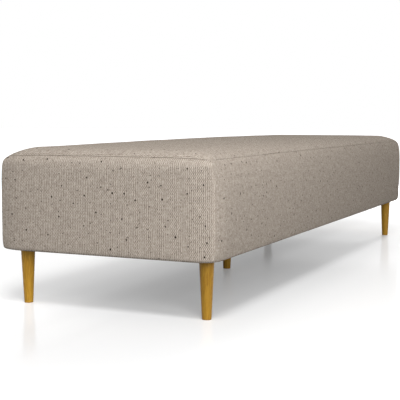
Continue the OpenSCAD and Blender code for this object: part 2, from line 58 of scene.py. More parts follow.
class Wall(Enum):
    """One of the four upright panels of the cover."""

    FRONT = "front"
    BACK = "back"
    LEFT = "left"
    RIGHT = "right"

    @property
    def is_long(self) -> bool:
        """Whether the panel runs along the bench."""
        return self in (Wall.FRONT, Wall.BACK)

    @property
    def is_turned(self) -> bool:
        """Whether the panel is the front or left one, turned half round."""
        return self in (Wall.BACK, Wall.RIGHT)


class Grain(Enum):
    """The direction in which the grain of a piece of wood runs."""

    ALONG = "along"
    ACROSS = "across"
    UPRIGHT = "upright"


def srgb(red: int, green: int, blue: int) -> Colour:
    """A colour as the eye sees it on a screen, as linear light.

    Args:
        red: Red from 0 to 255.
        green: Green from 0 to 255.
        blue: Blue from 0 to 255.

    Returns:
        The three linear values.
    """

    def linear(value: float) -> float:
        """One channel of the colour as linear light."""
        share = value / 255
        return share / 12.92 if share <= 0.04045 else ((share + 0.055) / 1.055) ** 2.4

    return (linear(red), linear(green), linear(blue))


# ---- the nodes of a material ----


class Recipe:
    """The nodes of one material, laid out with short calls."""

    def __init__(self, name: str) -> None:
        """Starts a material with a principled shader.

        Args:
            name: The material's name.
        """
        self.material = bpy.data.materials.new(name)
        self.material.use_nodes = True
        self.tree = self.material.node_tree
        self.tree.nodes.clear()
        self.output = self.tree.nodes.new("ShaderNodeOutputMaterial")
        self.skin = self.tree.nodes.new("ShaderNodeBsdfPrincipled")
        self.link(self.skin.outputs["BSDF"], self.output.inputs["Surface"])

    def link(self, start: bpy.types.NodeSocket, end: bpy.types.NodeSocket) -> None:
        """Joins two sockets."""
        self.tree.links.new(start, end)

    def put(self, socket: bpy.types.NodeSocket, value: object) -> None:
        """Gives an input a value, or joins it to the output of another node.

        Args:
            socket: The input.
            value: A socket, a number, a vector or a colour.
        """
        if isinstance(value, bpy.types.NodeSocket):
            self.link(value, socket)
        elif socket.type == "RGBA":
            socket.default_value = (*value, 1.0)
        else:
            socket.default_value = value

    def node(self, kind: str, inputs: dict[str | int, object], **settings: object) -> bpy.types.Node:
        """Adds a node.

        Args:
            kind: The node's type.
            inputs: Its inputs by name or number.
            **settings: Its properties.

        Returns:
            The node.
        """
        made = self.tree.nodes.new(kind)
        for name, value in settings.items():
            setattr(made, name, value)
        for key, value in inputs.items():
            self.put(made.inputs[key], value)
        return made

    def sum(self, operation: str, *values: object, clamp: bool = False) -> bpy.types.NodeSocket:
        """Adds a Math node.

        Args:
            operation: The operation's name.
            *values: One to three numbers or sockets.
            clamp: Whether the result is kept from 0 to 1.

        Returns:
            The result.
        """
        inputs = dict(enumerate(values))
        return self.node("ShaderNodeMath", inputs, operation=operation, use_clamp=clamp).outputs[0]

    def mixed(self, share: object, first: object, second: object, blend: str = "MIX") -> bpy.types.NodeSocket:
        """Mixes two colours.

        Args:
            share: How much of the second colour shows.
            first: The first colour.
            second: The second colour.
            blend: The way in which they mix.

        Returns:
            The mixed colour.
        """
        made = self.node("ShaderNodeMix", {0: share, 6: first, 7: second}, data_type="RGBA", blend_type=blend)
        return made.outputs[2]

    def between(self, value: object, low: float, high: float, smooth: bool = True) -> bpy.types.NodeSocket:
        """How far a value is on its way from low to high, from 0 to 1."""
        kind = "SMOOTHSTEP" if smooth else "LINEAR"
        return self.node(
            "ShaderNodeMapRange", {"Value": value, "From Min": low, "From Max": high}, interpolation_type=kind
        ).outputs["Result"]

    def cloud(
        self, where: object, scale: float, detail: float = 2.0, rough: float = 0.5, warp: float = 0.0
    ) -> bpy.types.NodeSocket:
        """Soft noise from 0 to 1.

        Args:
            where: The coordinates.
            scale: Features per metre.
            detail: The number of finer layers.
            rough: The strength of the finer layers.
            warp: How far the noise bends its own shapes.

        Returns:
            The noise.
        """
        return self.node(
            "ShaderNodeTexNoise",
            {"Vector": where, "Scale": scale, "Detail": detail, "Roughness": rough, "Distortion": warp},
        ).outputs["Fac"]

    def spots(self, where: object, scale: float, flat: bool = False) -> bpy.types.Node:
        """A field of scattered points.

        Args:
            where: The coordinates.
            scale: Points per metre.
            flat: Whether the field is in two dimensions.

        Returns:
            The Voronoi node, whose Distance is counted in cells.
        """
        size = "2D" if flat else "3D"
        return self.node("ShaderNodeTexVoronoi", {"Vector": where, "Scale": scale}, voronoi_dimensions=size)

    def stretched(self, where: object, scale: Colour, turn: Colour = (0, 0, 0)) -> bpy.types.NodeSocket:
        """Coordinates that are scaled and turned."""
        return self.node("ShaderNodeMapping", {"Vector": where, "Scale": scale, "Rotation": turn}).outputs[0]

    def relief(self, height: object, depth: float, strength: float = 1.0) -> None:
        """Gives the shader a bump.

        Args:
            height: The height, from 0 to 1.
            depth: The depth of the relief in metres.
            strength: How strongly it shows.
        """
        bump = self.node("ShaderNodeBump", {"Height": height, "Distance": depth, "Strength": strength})
        self.link(bump.outputs["Normal"], self.skin.inputs["Normal"])

    def finish(self, colour: object, roughness: object, **constants: float) -> bpy.types.Material:
        """Sets the shader's colour and gloss.

        Args:
            colour: The base colour.
            roughness: The roughness.
            **constants: Other inputs of the shader by name, with _ for a space.

        Returns:
            The material.
        """
        self.put(self.skin.inputs["Base Color"], colour)
        self.put(self.skin.inputs["Roughness"], roughness)
        for name, value in constants.items():
            self.skin.inputs[name.replace("_", " ").title().replace("Ior", "IOR")].default_value = value
        return self.material

    def object_place(self) -> bpy.types.NodeSocket:
        """The place of a point in the bench's own frame."""
        return self.node("ShaderNodeTexCoord", {}).outputs["Object"]

    def cloth_place(self) -> bpy.types.NodeSocket:
        """The place of a point on its flat cut of cloth, in metres."""
        return self.node("ShaderNodeUVMap", {}, uv_map=CLOTH_MAP).outputs["UV"]


CLOTH_MAP = "cut"


@dataclass(frozen=True)
class Tweed:
    """The flecked taupe fabric: a plain weave of thick yarn whose upright ribs show most."""

    light: Colour = srgb(210, 199, 187)
    dark: Colour = srgb(110, 98, 86)
    fleck: Colour = srgb(46, 35, 27)
    faint_fleck: Colour = srgb(92, 77, 63)
    rib: float = 5.17 * MM
    pick: float = 8.3 * MM

    def flecks(
        self, recipe: Recipe, place: bpy.types.NodeSocket, pitch: float, size: tuple[float, float], share: float
    ) -> bpy.types.NodeSocket:
        """Scattered nubs of dark yarn.

        Args:
            recipe: The material.
            place: The coordinates on the cloth.
            pitch: The mean distance between places for a nub.
            size: The least and the greatest radius of a nub.
            share: The share of the places that have one.

        Returns:
            The cover of the nubs, from 0 to 1.
        """
        field_of_nubs = recipe.spots(place, 1 / pitch, flat=True)
        pick = recipe.node("ShaderNodeSeparateColor", {"Color": field_of_nubs.outputs["Color"]})
        radius = recipe.sum("MULTIPLY_ADD", pick.outputs[1], (size[1] - size[0]) / pitch, size[0] / pitch)
        nearness = recipe.sum("DIVIDE", field_of_nubs.outputs["Distance"], radius)
        body = recipe.between(nearness, 1.15, 0.7)
        return recipe.sum("MULTIPLY", body, recipe.sum("LESS_THAN", pick.outputs[0], share))

    def material(self) -> bpy.types.Material:
        """The fabric as a material."""
        recipe = Recipe("tweed")
        flat = recipe.cloth_place()
        waver = recipe.node("ShaderNodeTexNoise", {"Vector": flat, "Scale": 14.0, "Detail": 2.0})
        shaken = recipe.node(
            "ShaderNodeVectorMath", {0: waver.outputs["Color"], 1: (1.3 * MM, 1.3 * MM, 0)}, operation="MULTIPLY"
        )
        place = recipe.node("ShaderNodeVectorMath", {0: flat, 1: shaken.outputs[0]}, operation="ADD").outputs[0]
        axes = recipe.node("ShaderNodeSeparateXYZ", {"Vector": place})
        rib = recipe.sum("SINE", recipe.sum("MULTIPLY", axes.outputs[0], 2 * math.pi / self.rib))
        pick = recipe.sum("SINE", recipe.sum("MULTIPLY", axes.outputs[1], 2 * math.pi / self.pick))
        checks = recipe.sum("MULTIPLY", rib, pick)
        patch = recipe.between(recipe.cloud(flat, 42, 2), 0.40, 0.56)
        weave = recipe.sum(
            "ADD",
            recipe.sum("MULTIPLY", rib, recipe.sum("MULTIPLY_ADD", patch, -0.38, 0.62)),
            recipe.sum("MULTIPLY", checks, recipe.sum("MULTIPLY_ADD", patch, 0.62, 0.18)),
        )
        fibre = recipe.cloud(recipe.stretched(flat, (1, 0.3, 1)), 800, 2, 0.6)
        slub = recipe.cloud(recipe.stretched(flat, (1, 0.3, 1)), 230, 1)
        mottle = recipe.cloud(flat, 22, 3, 0.6)
        tone = recipe.sum("MULTIPLY_ADD", weave, 0.40, 0.5)
        speckle = recipe.cloud(flat, 75, 2, 0.7)
        grain = recipe.cloud(flat, 200, 2, 0.8)
        for part, weight in ((fibre, 0.25), (slub, 0.25), (speckle, 0.50), (grain, 0.90), (mottle, 0.14)):
            tone = recipe.sum("ADD", tone, recipe.sum("MULTIPLY", recipe.sum("SUBTRACT", part, 0.5), weight))
        cloth = recipe.mixed(recipe.between(tone, 0.0, 1.0, smooth=False), self.dark, self.light)
        ragged = recipe.node("ShaderNodeTexNoise", {"Vector": flat, "Scale": 520.0, "Detail": 1.0})
        tug = recipe.node(
            "ShaderNodeVectorMath", {0: ragged.outputs["Color"], 1: (2.2 * MM, 2.2 * MM, 0)}, operation="MULTIPLY"
        )
        torn = recipe.node("ShaderNodeVectorMath", {0: flat, 1: tug.outputs[0]}, operation="ADD").outputs[0]
        faint = self.flecks(recipe, torn, 12 * MM, (0.8 * MM, 1.6 * MM), 0.42)
        middling = self.flecks(recipe, recipe.stretched(torn, (0.9, 1, 1)), 26 * MM, (1.2 * MM, 2.0 * MM), 0.48)
        strong = self.flecks(recipe, recipe.stretched(torn, (1, 0.8, 1)), 37 * MM, (1.6 * MM, 2.6 * MM), 0.48)
        cloth = recipe.mixed(recipe.sum("MULTIPLY", faint, 0.55), cloth, self.faint_fleck)
        cloth = recipe.mixed(recipe.sum("MULTIPLY", middling, 0.75), cloth, self.fleck)
        cloth = recipe.mixed(strong, cloth, self.fleck)
        height = recipe.sum("MULTIPLY_ADD", weave, 0.3, 0.4)
        height = recipe.sum("ADD", height, recipe.sum("MULTIPLY", fibre, 0.3))
        height = recipe.sum("ADD", height, recipe.sum("MULTIPLY", strong, 0.35))
        recipe.relief(height, 0.7 * MM, 0.6)
        return recipe.finish(cloth, 0.94, specular_ior_level=0.0)


@dataclass(frozen=True)
class OiledWood:
    """The satin wood of the legs, with its grain upright."""

    light: Colour = srgb(199, 152, 53)
    dark: Colour = srgb(158, 112, 29)
    pore: Colour = srgb(108, 70, 18)
    # The last three fields paint shade over the legs: the front-left leg darker, the back-right one lighter.
    wave: tuple[float, float, float] = (4.2, 5.86, 3.94)
    leg_shade_spread: float = 0.17
    level: float = 0.98

    def material(self) -> bpy.types.Material:
        """The wood as a material."""
        recipe = Recipe("leg_wood")
        place = recipe.object_place()
        drift = recipe.cloud(recipe.stretched(place, (1, 1, 0.06)), 95, 3, 0.6, 0.4)
        rings = recipe.sum("FRACT", recipe.sum("MULTIPLY", drift, 7.0))
        figure = recipe.between(recipe.sum("ABSOLUTE", recipe.sum("SUBTRACT", rings, 0.5)), 0.08, 0.5)
        fibre = recipe.cloud(recipe.stretched(place, (1, 1, 0.03)), 1300, 2, 0.6)
        tone = recipe.sum("ADD", recipe.sum("MULTIPLY", figure, 0.4), recipe.sum("MULTIPLY", fibre, 0.5))
        colour = recipe.mixed(recipe.between(tone, 0.05, 0.85, smooth=False), self.light, self.dark)
        pores = recipe.between(recipe.cloud(recipe.stretched(place, (1, 1, 0.05)), 2100, 1), 0.62, 0.74)
        colour = recipe.mixed(recipe.sum("MULTIPLY", pores, 0.3), colour, self.pore)
        # Painted shade: a gentle wave over the plan darkens the front-left leg and lightens the back-right one, in
        # place of the light that each leg gets.
        plan = recipe.node("ShaderNodeVectorMath", {0: place, 1: (*self.wave[:2], 0)}, operation="DOT_PRODUCT")
        board = recipe.sum("SINE", recipe.sum("ADD", plan.outputs["Value"], self.wave[2]))
        leg_shade_factor = recipe.sum("MULTIPLY_ADD", board, self.leg_shade_spread, self.level)
        colour = recipe.mixed(1.0, colour, recipe.node("ShaderNodeCombineXYZ", {0: leg_shade_factor, 1: leg_shade_factor, 2: leg_shade_factor}).outputs[0], "MULTIPLY")
        recipe.relief(recipe.sum("SUBTRACT", fibre, recipe.sum("MULTIPLY", pores, 0.5)), 0.15 * MM, 0.35)
        gloss = recipe.sum("MULTIPLY_ADD", fibre, 0.14, 0.30)
        return recipe.finish(colour, gloss, specular_ior_level=0.2)


@dataclass(frozen=True)
class SawnPine:
    """The planed softwood of the frame."""

    light: Colour = srgb(228, 202, 156)
    dark: Colour = srgb(196, 152, 98)

    def material(self, grain: Grain) -> bpy.types.Material:
        """The wood as a material.

        Args:
            grain: The way that the grain runs.

        Returns:
            The material.
        """
        recipe = Recipe(f"pine_{grain.value}")
        thin = 0.05
        scale = {Grain.ALONG: (thin, 1, 1), Grain.ACROSS: (1, thin, 1), Grain.UPRIGHT: (1, 1, thin)}[grain]
        place = recipe.stretched(recipe.object_place(), scale)
        drift = recipe.cloud(place, 16, 3, 0.5, 0.3)
        rings = recipe.sum("FRACT", recipe.sum("MULTIPLY", drift, 9.0))
        late = recipe.between(rings, 0.45, 1.0)
        fibre = recipe.cloud(place, 700, 2)
        tone = recipe.sum("ADD", recipe.sum("MULTIPLY", late, 0.7), recipe.sum("MULTIPLY", fibre, 0.35))
        colour = recipe.mixed(recipe.sum("MULTIPLY", tone, 0.9, clamp=True), self.light, self.dark)
        recipe.relief(fibre, 0.2 * MM, 0.4)
        return recipe.finish(colour, 0.62, specular_ior_level=0.3)


@dataclass(frozen=True)
class Plywood:
    """Birch plywood with its plies at the edges."""

    face: Colour = srgb(214, 184, 138)
    glue: Colour = srgb(128, 88, 54)
    ply: float = 1.5 * MM

    def material(self) -> bpy.types.Material:
        """The plywood as a material."""
        recipe = Recipe("plywood")
        place = recipe.object_place()
        figure = recipe.cloud(recipe.stretched(place, (0.06, 1, 1)), 120, 3, 0.6, 0.5)
        height = recipe.node("ShaderNodeSeparateXYZ", {"Vector": place}).outputs[2]
        layer = recipe.sum("SINE", recipe.sum("MULTIPLY", height, 2 * math.pi / self.ply))
        glue = recipe.between(layer, 0.55, 0.95)
        facing = recipe.node("ShaderNodeNewGeometry", {}).outputs["True Normal"]
        upright = recipe.sum("ABSOLUTE", recipe.node("ShaderNodeSeparateXYZ", {"Vector": facing}).outputs[2])
        edge = recipe.between(upright, 0.6, 0.2)
        colour = recipe.mixed(recipe.sum("MULTIPLY", figure, 0.35), self.face, self.glue)
        colour = recipe.mixed(recipe.sum("MULTIPLY", recipe.sum("MULTIPLY", glue, edge), 0.7), colour, self.glue)
        recipe.relief(figure, 0.15 * MM, 0.3)
        return recipe.finish(colour, 0.55, specular_ior_level=0.3)


@dataclass(frozen=True)
class Fibreboard:
    """The thin brown board that closes the sides."""

    light: Colour = srgb(158, 126, 88)
    dark: Colour = srgb(104, 78, 50)

    def material(self) -> bpy.types.Material:
        """The board as a material."""
        recipe = Recipe("fibreboard")
        place = recipe.object_place()
        fibre = recipe.cloud(place, 420, 3, 0.7, 0.8)
        patch = recipe.cloud(place, 18, 2)
        tone = recipe.sum("ADD", recipe.sum("MULTIPLY", fibre, 0.7), recipe.sum("MULTIPLY", patch, 0.3))
        colour = recipe.mixed(recipe.between(tone, 0.25, 0.75), self.dark, self.light)
        recipe.relief(fibre, 0.12 * MM, 0.4)
        return recipe.finish(colour, 0.7, specular_ior_level=0.25)


@dataclass(frozen=True)
class OpenCellFoam:
    """Cream polyurethane foam with open cells."""

    name: str
    light: Colour
    dark: Colour
    cell: float = 1.1 * MM

    def material(self) -> bpy.types.Material:
        """The foam as a material."""
        recipe = Recipe(self.name)
        place = recipe.object_place()
        cells = recipe.spots(place, 1 / self.cell).outputs["Distance"]
        wall = recipe.between(cells, 0.2, 0.65)
        patch = recipe.cloud(place, 25, 2)
        tone = recipe.sum("MULTIPLY_ADD", patch, 0.3, recipe.sum("MULTIPLY", wall, 0.7))
        colour = recipe.mixed(tone, self.dark, self.light)
        recipe.relief(wall, 0.5 * MM, 0.6)
        return recipe.finish(colour, 0.95, specular_ior_level=0.1, sheen_weight=0.1)


@dataclass(frozen=True)
class Fleece:
    """Thin cloth of bonded fibres with a grid of small welds."""

    name: str
    light: Colour
    dark: Colour
    weld: float = 1.6 * MM

    def material(self) -> bpy.types.Material:
        """The cloth as a material."""
        recipe = Recipe(self.name)
        flat = recipe.cloth_place()
        turned = recipe.stretched(flat, (1, 1, 1), (0, 0, math.radians(45)))
        welds = recipe.node("ShaderNodeTexVoronoi", {"Vector": turned, "Scale": 1 / self.weld, "Randomness": 0.12})
        weld = recipe.between(welds.outputs["Distance"], 0.32, 0.2)
        fibre = recipe.cloud(flat, 650, 3, 0.7, 1.6)
        patch = recipe.cloud(flat, 30, 3)
        tone = recipe.sum("MULTIPLY_ADD", patch, 0.4, recipe.sum("MULTIPLY", fibre, 0.6))
        colour = recipe.mixed(tone, self.dark, self.light)
        height = recipe.sum("SUBTRACT", fibre, weld)
        recipe.relief(height, 0.15 * MM, 0.5)
        return recipe.finish(colour, 0.85, specular_ior_level=0.2, sheen_weight=0.15)


@dataclass(frozen=True)
class Webbing:
    """Woven seat webbing with two darker threads near its edges."""

    light: Colour = srgb(214, 204, 184)
    dark: Colour = srgb(158, 142, 116)
    stripe: Colour = srgb(104, 84, 62)
    thread: float = 1.8 * MM
    stripe_at: float = 25 * MM

    def material(self) -> bpy.types.Material:
        """The webbing as a material."""
        recipe = Recipe("webbing")
        flat = recipe.cloth_place()
        axes = recipe.node("ShaderNodeSeparateXYZ", {"Vector": flat})
        warp = recipe.sum("SINE", recipe.sum("MULTIPLY", axes.outputs[1], 2 * math.pi / self.thread))
        weft = recipe.sum("SINE", recipe.sum("MULTIPLY", axes.outputs[0], 2 * math.pi / (self.thread * 1.6)))
        weave = recipe.sum("MULTIPLY_ADD", recipe.sum("MULTIPLY", warp, weft), 0.5, 0.5)
        from_line = recipe.sum("SUBTRACT", recipe.sum("ABSOLUTE", axes.outputs[1]), self.stripe_at)
        line = recipe.between(recipe.sum("ABSOLUTE", from_line), 2.4 * MM, 1.8 * MM)
        fuzz = recipe.cloud(flat, 800, 2)
        tone = recipe.sum("MULTIPLY_ADD", weave, 0.6, recipe.sum("MULTIPLY", fuzz, 0.4))
        colour = recipe.mixed(tone, self.dark, self.light)
        colour = recipe.mixed(recipe.sum("MULTIPLY", line, 0.8), colour, self.stripe)
        recipe.relief(weave, 0.4 * MM, 0.6)
        return recipe.finish(colour, 0.8, specular_ior_level=0.25)


@dataclass(frozen=True)
class Metal:
    """Plated or drawn steel with fine marks of handling."""

    name: str
    colour: Colour
    shade: Colour
    roughness: float

    def material(self) -> bpy.types.Material:
        """The metal as a material."""
        recipe = Recipe(self.name)
        place = recipe.object_place()
        stain = recipe.cloud(place, 260, 3, 0.6)
        marks = recipe.cloud(recipe.stretched(place, (1, 1, 0.2)), 2600, 1)
        colour = recipe.mixed(recipe.between(stain, 0.35, 0.75), self.colour, self.shade)
        recipe.relief(marks, 0.03 * MM, 0.4)
        gloss = recipe.sum("MULTIPLY_ADD", marks, 0.16, self.roughness)
        return recipe.finish(colour, gloss, metallic=1.0)


# ---- meshes ----


def even_steps(length: float, step: float) -> list[float]:
    """Marks from 0 to a length, about a step apart."""
    count = max(1, round(length / step))
    return [length * i / count for i in range(count + 1)]


def even_marks(half: float, step: float) -> list[float]:
    """Marks from -half to half, about a step apart."""
    return [d - half for d in even_steps(2 * half, step)]


def marks_from_both_ends(close: Sequence[float], half: float, step: float) -> list[float]:
    """Marks along a panel that lie close together at both of its ends.

    Args:
        close: Distances from an end for the close marks, from 0.
        half: Half the length of the panel.
        step: The distance between the marks further in.

    Returns:
        Shares of half the length, from -1 to 1.
    """
    rest = half - close[-1]
    inner = [close[-1] + d for d in even_steps(rest, step)[1:]]
    from_end = [*close, *inner]
    left = [d / half - 1 for d in from_end]
    return left + [-share for share in reversed(left[:-1])]


def laid_grid(columns: Sequence[float], rows: Sequence[float], place: Place, flat: Place) -> bmesh.types.BMesh:
    """A grid of quads that is laid over a surface.

    Args:
        columns: The first coordinate of each column.
        rows: The second coordinate of each row.
        place: The point of the surface at both coordinates.
        flat: The point of the flat cut at both coordinates.

    Returns:
        The mesh, with its flat cut as a UV map and its columns and rows in two vertex layers.
    """
    mesh = bmesh.new()
    across, up = len(columns) - 1, len(rows) - 1
    bmesh.ops.create_grid(mesh, x_segments=across, y_segments=up, size=1.0)
    column_of = mesh.verts.layers.int.new("column")
    row_of = mesh.verts.layers.int.new("row")
    cut = mesh.loops.layers.uv.new(CLOTH_MAP)
    for vert in mesh.verts:
        vert[column_of] = round((vert.co.x + 1) / 2 * across)
        vert[row_of] = round((vert.co.y + 1) / 2 * up)
        vert.co = place(columns[vert[column_of]], rows[vert[row_of]])
    for face in mesh.faces:
        for loop in face.loops:
            corner = flat(columns[loop.vert[column_of]], rows[loop.vert[row_of]])
            loop[cut].uv = (corner.x, corner.y)
    mesh.normal_update()
    return mesh


def shown_piece(mesh: bmesh.types.BMesh, name: str, smooth: bool = True) -> bpy.types.Object:
    """Turns a mesh into an object of the scene.

    Args:
        mesh: The mesh, which is freed.
        name: The piece's name.
        smooth: Whether its faces are shaded smooth.

    Returns:
        The object.
    """
    data = bpy.data.meshes.new(name)
    mesh.to_mesh(data)
    mesh.free()
    for face in data.polygons:
        face.use_smooth = smooth
    piece = bpy.data.objects.new(name, data)
    bpy.context.scene.collection.objects.link(piece)
    return piece


def dress(piece: bpy.types.Object, material: bpy.types.Material, stands_for: Iterable[str] = ()) -> None:
    """Gives a new piece its material, its body and the nodes that it stands for.

    Args:
        piece: The piece.
        material: Its material.
        stands_for: The nodes that it replaces.
    """
    piece.data.materials.clear()
    piece.data.materials.append(material)
    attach(piece, BODY)
    if stands_for:
        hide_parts(*stands_for)
    faces = len(piece.data.polygons)
    LOG.info("%s: %d faces before its modifiers", piece.name, faces)


def rounded(piece: bpy.types.Object, levels: int) -> None:
    """Adds a subdivision surface that shows as many levels as it renders."""
    smooth = piece.modifiers.new("Smooth", "SUBSURF")
    smooth.levels = smooth.render_levels = levels
    smooth.boundary_smooth = "PRESERVE_CORNERS"


def thickened(piece: bpy.types.Object, thickness: float) -> None:
    """Gives a sheet its thickness, on the inner side."""
    wall = piece.modifiers.new("Thickness", "SOLIDIFY")
    wall.thickness = thickness
    wall.offset = -1


def puff(
    piece: bpy.types.Object, held: dict[int, float], pressure: float, frames: int, most: float
) -> None:
    """Blows a panel up as a sheet of cloth that is held at its seams, and keeps the shape.

    Args:
        piece: The panel.
        held: How firmly each vertex is held, from 0 to 1.
        pressure: The pressure behind the cloth.
        frames: The number of frames that it settles for.
        most: How far a point may move.
    """
    group = piece.vertex_groups.new(name="held")
    for index, weight in held.items():
        group.add([index], weight, "REPLACE")
    cloth = piece.modifiers.new("Cloth", "CLOTH")
    settings = cloth.settings
    settings.quality = 6
    settings.mass = 0.35
    settings.tension_stiffness = settings.compression_stiffness = 22
    settings.shear_stiffness = 9
    settings.bending_stiffness = 1.2
    settings.tension_damping = settings.compression_damping = 12
    settings.use_pressure = True
    settings.uniform_pressure_force = pressure
    settings.effector_weights.gravity = 0
    settings.vertex_group_mass = group.name
    cloth.collision_settings.use_collision = False
    cloth.point_cache.frame_start, cloth.point_cache.frame_end = 1, frames
    scene = bpy.context.scene
    for number in range(1, frames + 1):
        scene.frame_set(number)
    blown = piece.evaluated_get(bpy.context.evaluated_depsgraph_get())
    for vert, settled in zip(piece.data.vertices, blown.data.vertices):
        move = settled.co - vert.co
        if move.length > 1e-9:
            vert.co += move.normalized() * most * math.tanh(move.length / most)
    piece.modifiers.remove(cloth)
    piece.vertex_groups.remove(group)
    scene.frame_set(1)


# ---- the padded body ----


@dataclass(frozen=True)
class BodyShape:
    """The outside of the padded body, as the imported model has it."""

    half_l: float = 1000 * MM
    half_w: float = 315.1 * MM
    z_hem: float = 150.5 * MM
    z_seam: float = 407 * MM
    bottom_r: float = 8 * MM
    hem_w: float = 60 * MM
    top_rise: float = 20 * MM
    crown_rise: float = 9 * MM
    end_roll_w: float = 39 * MM
    side_roll_w: float = 66 * MM
    roll_fullness: float = 1.75
    end_lean: float = 19 * MM
    end_lean_h: float = 20 * MM
    side_lean: float = 14 * MM
    side_lean_h: float = 90 * MM
    side_lean_curve: float = 3.6
    corner_lean: float = 0.7
    end_pull: float = 5.35 * MM
    end_pull_w: float = 63 * MM
    side_pull: float = 3.0 * MM
    side_pull_w: float = 62 * MM
    pull_curve: float = 2.0
    tuck_in: float = 1.5 * MM
    tuck_up: float = 1.8 * MM
    tuck_h: float = 24 * MM
    tuck_w: float = 42 * MM
    side_bulge: float = 9 * MM
    half_gap: float = 0.07 * MM
    seam_drop: float = 3.5 * MM
    corner_drop: float = 1.0 * MM
    drop_h: float = 90 * MM
    drop_curve: float = 6.0
    seam_x: float = 980 * MM
    seam_y: float = 298 * MM

    @property
    def roll_end(self) -> float:
        """The distance from the hem's end, along the cloth, at which the wall begins."""
        return self.hem_w + self.bottom_r * math.pi / 2

    @property
    def cloth_h(self) -> float:
        """The distance from the hem's end to the top seam, on a wall that didn't lean."""
        return self.roll_end + self.z_seam - self.half_gap - self.z_hem - self.bottom_r

    def drawn(self, distance: float, depth: float, reach: float, curve: float = 2.6) -> float:
        """How far a face is drawn in at a distance from its seam."""
        return depth * (1 - max(distance, 0) / reach) ** curve if distance < reach else 0.0

    def drop(self, x: float, y: float) -> float:
        """How much lower the top seam lies at a place than in the middle of the ends."""
        along, aside = min(abs(x) / self.seam_x, 1.0), min(abs(y) / self.seam_y, 1.0)
        return aside**self.drop_curve * (self.seam_drop + self.corner_drop * along * along)

    def profile(self, up: float) -> tuple[float, float]:
        """The section of a wall.

        Args:
            up: The distance from the hem's end along the cloth.

        Returns:
            How far the point lies inside the wall's face, and its height.
        """
        radius = self.bottom_r
        if up < self.hem_w:
            return radius + self.hem_w - up, self.z_hem
        if up < self.roll_end:
            angle = (up - self.hem_w) / radius
            return radius - radius * math.sin(angle), self.z_hem + radius - radius * math.cos(angle)
        return 0.0, self.z_hem + radius + up - self.roll_end

    def half_sides(self, up: float, from_end: float) -> tuple[float, float]:
        """Half the length and half the width of the ring of walls.

        Args:
            up: The distance from the hem's end along the cloth.
            from_end: The distance of the place on the long side from the nearest end.

        Returns:
            Half the length, in the middle of the ends, and half the width at that place.
        """
        sink, height = self.profile(up)
        down = self.z_seam - height
        slack = self.drawn(from_end, 1.0, self.side_pull_w, self.pull_curve)
        lean = self.drawn(down, self.side_lean, self.side_lean_h, self.side_lean_curve)
        lean *= 1 - (1 - self.corner_lean) * slack
        share = min(max(down / (self.z_seam - self.z_hem), 0), 1)
        bulge = self.side_bulge * 4 * share * (1 - share) * (1 - slack)
        return (
            self.half_l - sink - self.drawn(down, self.end_lean, self.end_lean_h),
            self.half_w - sink - lean + bulge,
        )

    def tuck(self, up: float, from_corner: float) -> float:
        """How strongly the foot of a corner is rounded off at a place of a wall, from 0 to 1."""
        if up < self.hem_w:
            return 0.0
        return self.drawn(up - self.roll_end, 1.0, self.tuck_h, 2.0) * self.drawn(from_corner, 1.0, self.tuck_w, 2.0)

    def wall_point(self, wall: Wall, share: float, up: float, inset: float = 0.0) -> Vector:
        """A point of a wall's face.

        Args:
            wall: The wall.
            share: The place along it, from -1 at its left to 1 at its right, seen from outside.
            up: The distance from the hem's end along the cloth.
            inset: How far the point lies inside the face.

        Returns:
            The point.
        """
        from_end = (1 - abs(share)) * self.half_l if wall.is_long else 0.0
        reach_x, reach_y = (half - inset for half in self.half_sides(up, from_end))
        height = self.profile(up)[1]
        if wall.is_long:
            draw = self.drawn(from_end, self.side_pull, self.side_pull_w, self.pull_curve)
            x, y = share * (reach_x - self.end_pull - self.half_gap), -(reach_y - draw)
        else:
            draw = self.drawn((1 - abs(share)) * self.half_w, self.end_pull, self.end_pull_w, self.pull_curve)
            x, y = -(reach_x - draw), -share * (reach_y - self.side_pull - self.half_gap)
        height -= self.drop(x, y) * max(0.0, 1 - (self.z_seam - height) / self.drop_h) ** 2
        tuck = self.tuck(up, (1 - abs(share)) * (self.half_l if wall.is_long else self.half_w))
        x -= math.copysign(self.tuck_in * tuck, x)
        y -= math.copysign(self.tuck_in * tuck, y)
        height += self.tuck_up * tuck
        return Vector((-x, -y, height)) if wall.is_turned else Vector((x, y, height))

    def roll(self, distance: float, width: float) -> float:
        """The rise of the rolled edge at a distance from the seam, from 0 to 1."""
        share = min(max(distance / width, 0), 1)
        return (1 - (1 - share) ** self.roll_fullness) ** (1 / self.roll_fullness)

    def top_point(self, a: float, b: float, inset: float = 0.0) -> Vector:
        """A point of the top panel.

        Args:
            a: The place along the bench, from -1 to 1.
            b: The place across the bench, from -1 to 1.
            inset: How far the point lies under the face.

        Returns:
            The point.
        """
        reach_x = abs(self.wall_point(Wall.LEFT, -b, self.cloth_h, inset).x)
        reach_y = abs(self.wall_point(Wall.FRONT, a, self.cloth_h, inset).y)
        share = self.roll((1 - abs(a)) * reach_x, self.end_roll_w)
        share *= self.roll((1 - abs(b)) * reach_y, self.side_roll_w)
        crown = self.crown_rise * (1 - a * a) * (1 - b * b)
        x, y = a * reach_x, b * reach_y
        edge = self.z_seam + self.half_gap - self.drop(x, y) * (1 - share)
        return Vector((x, y, edge + (self.top_rise - inset) * share + crown))


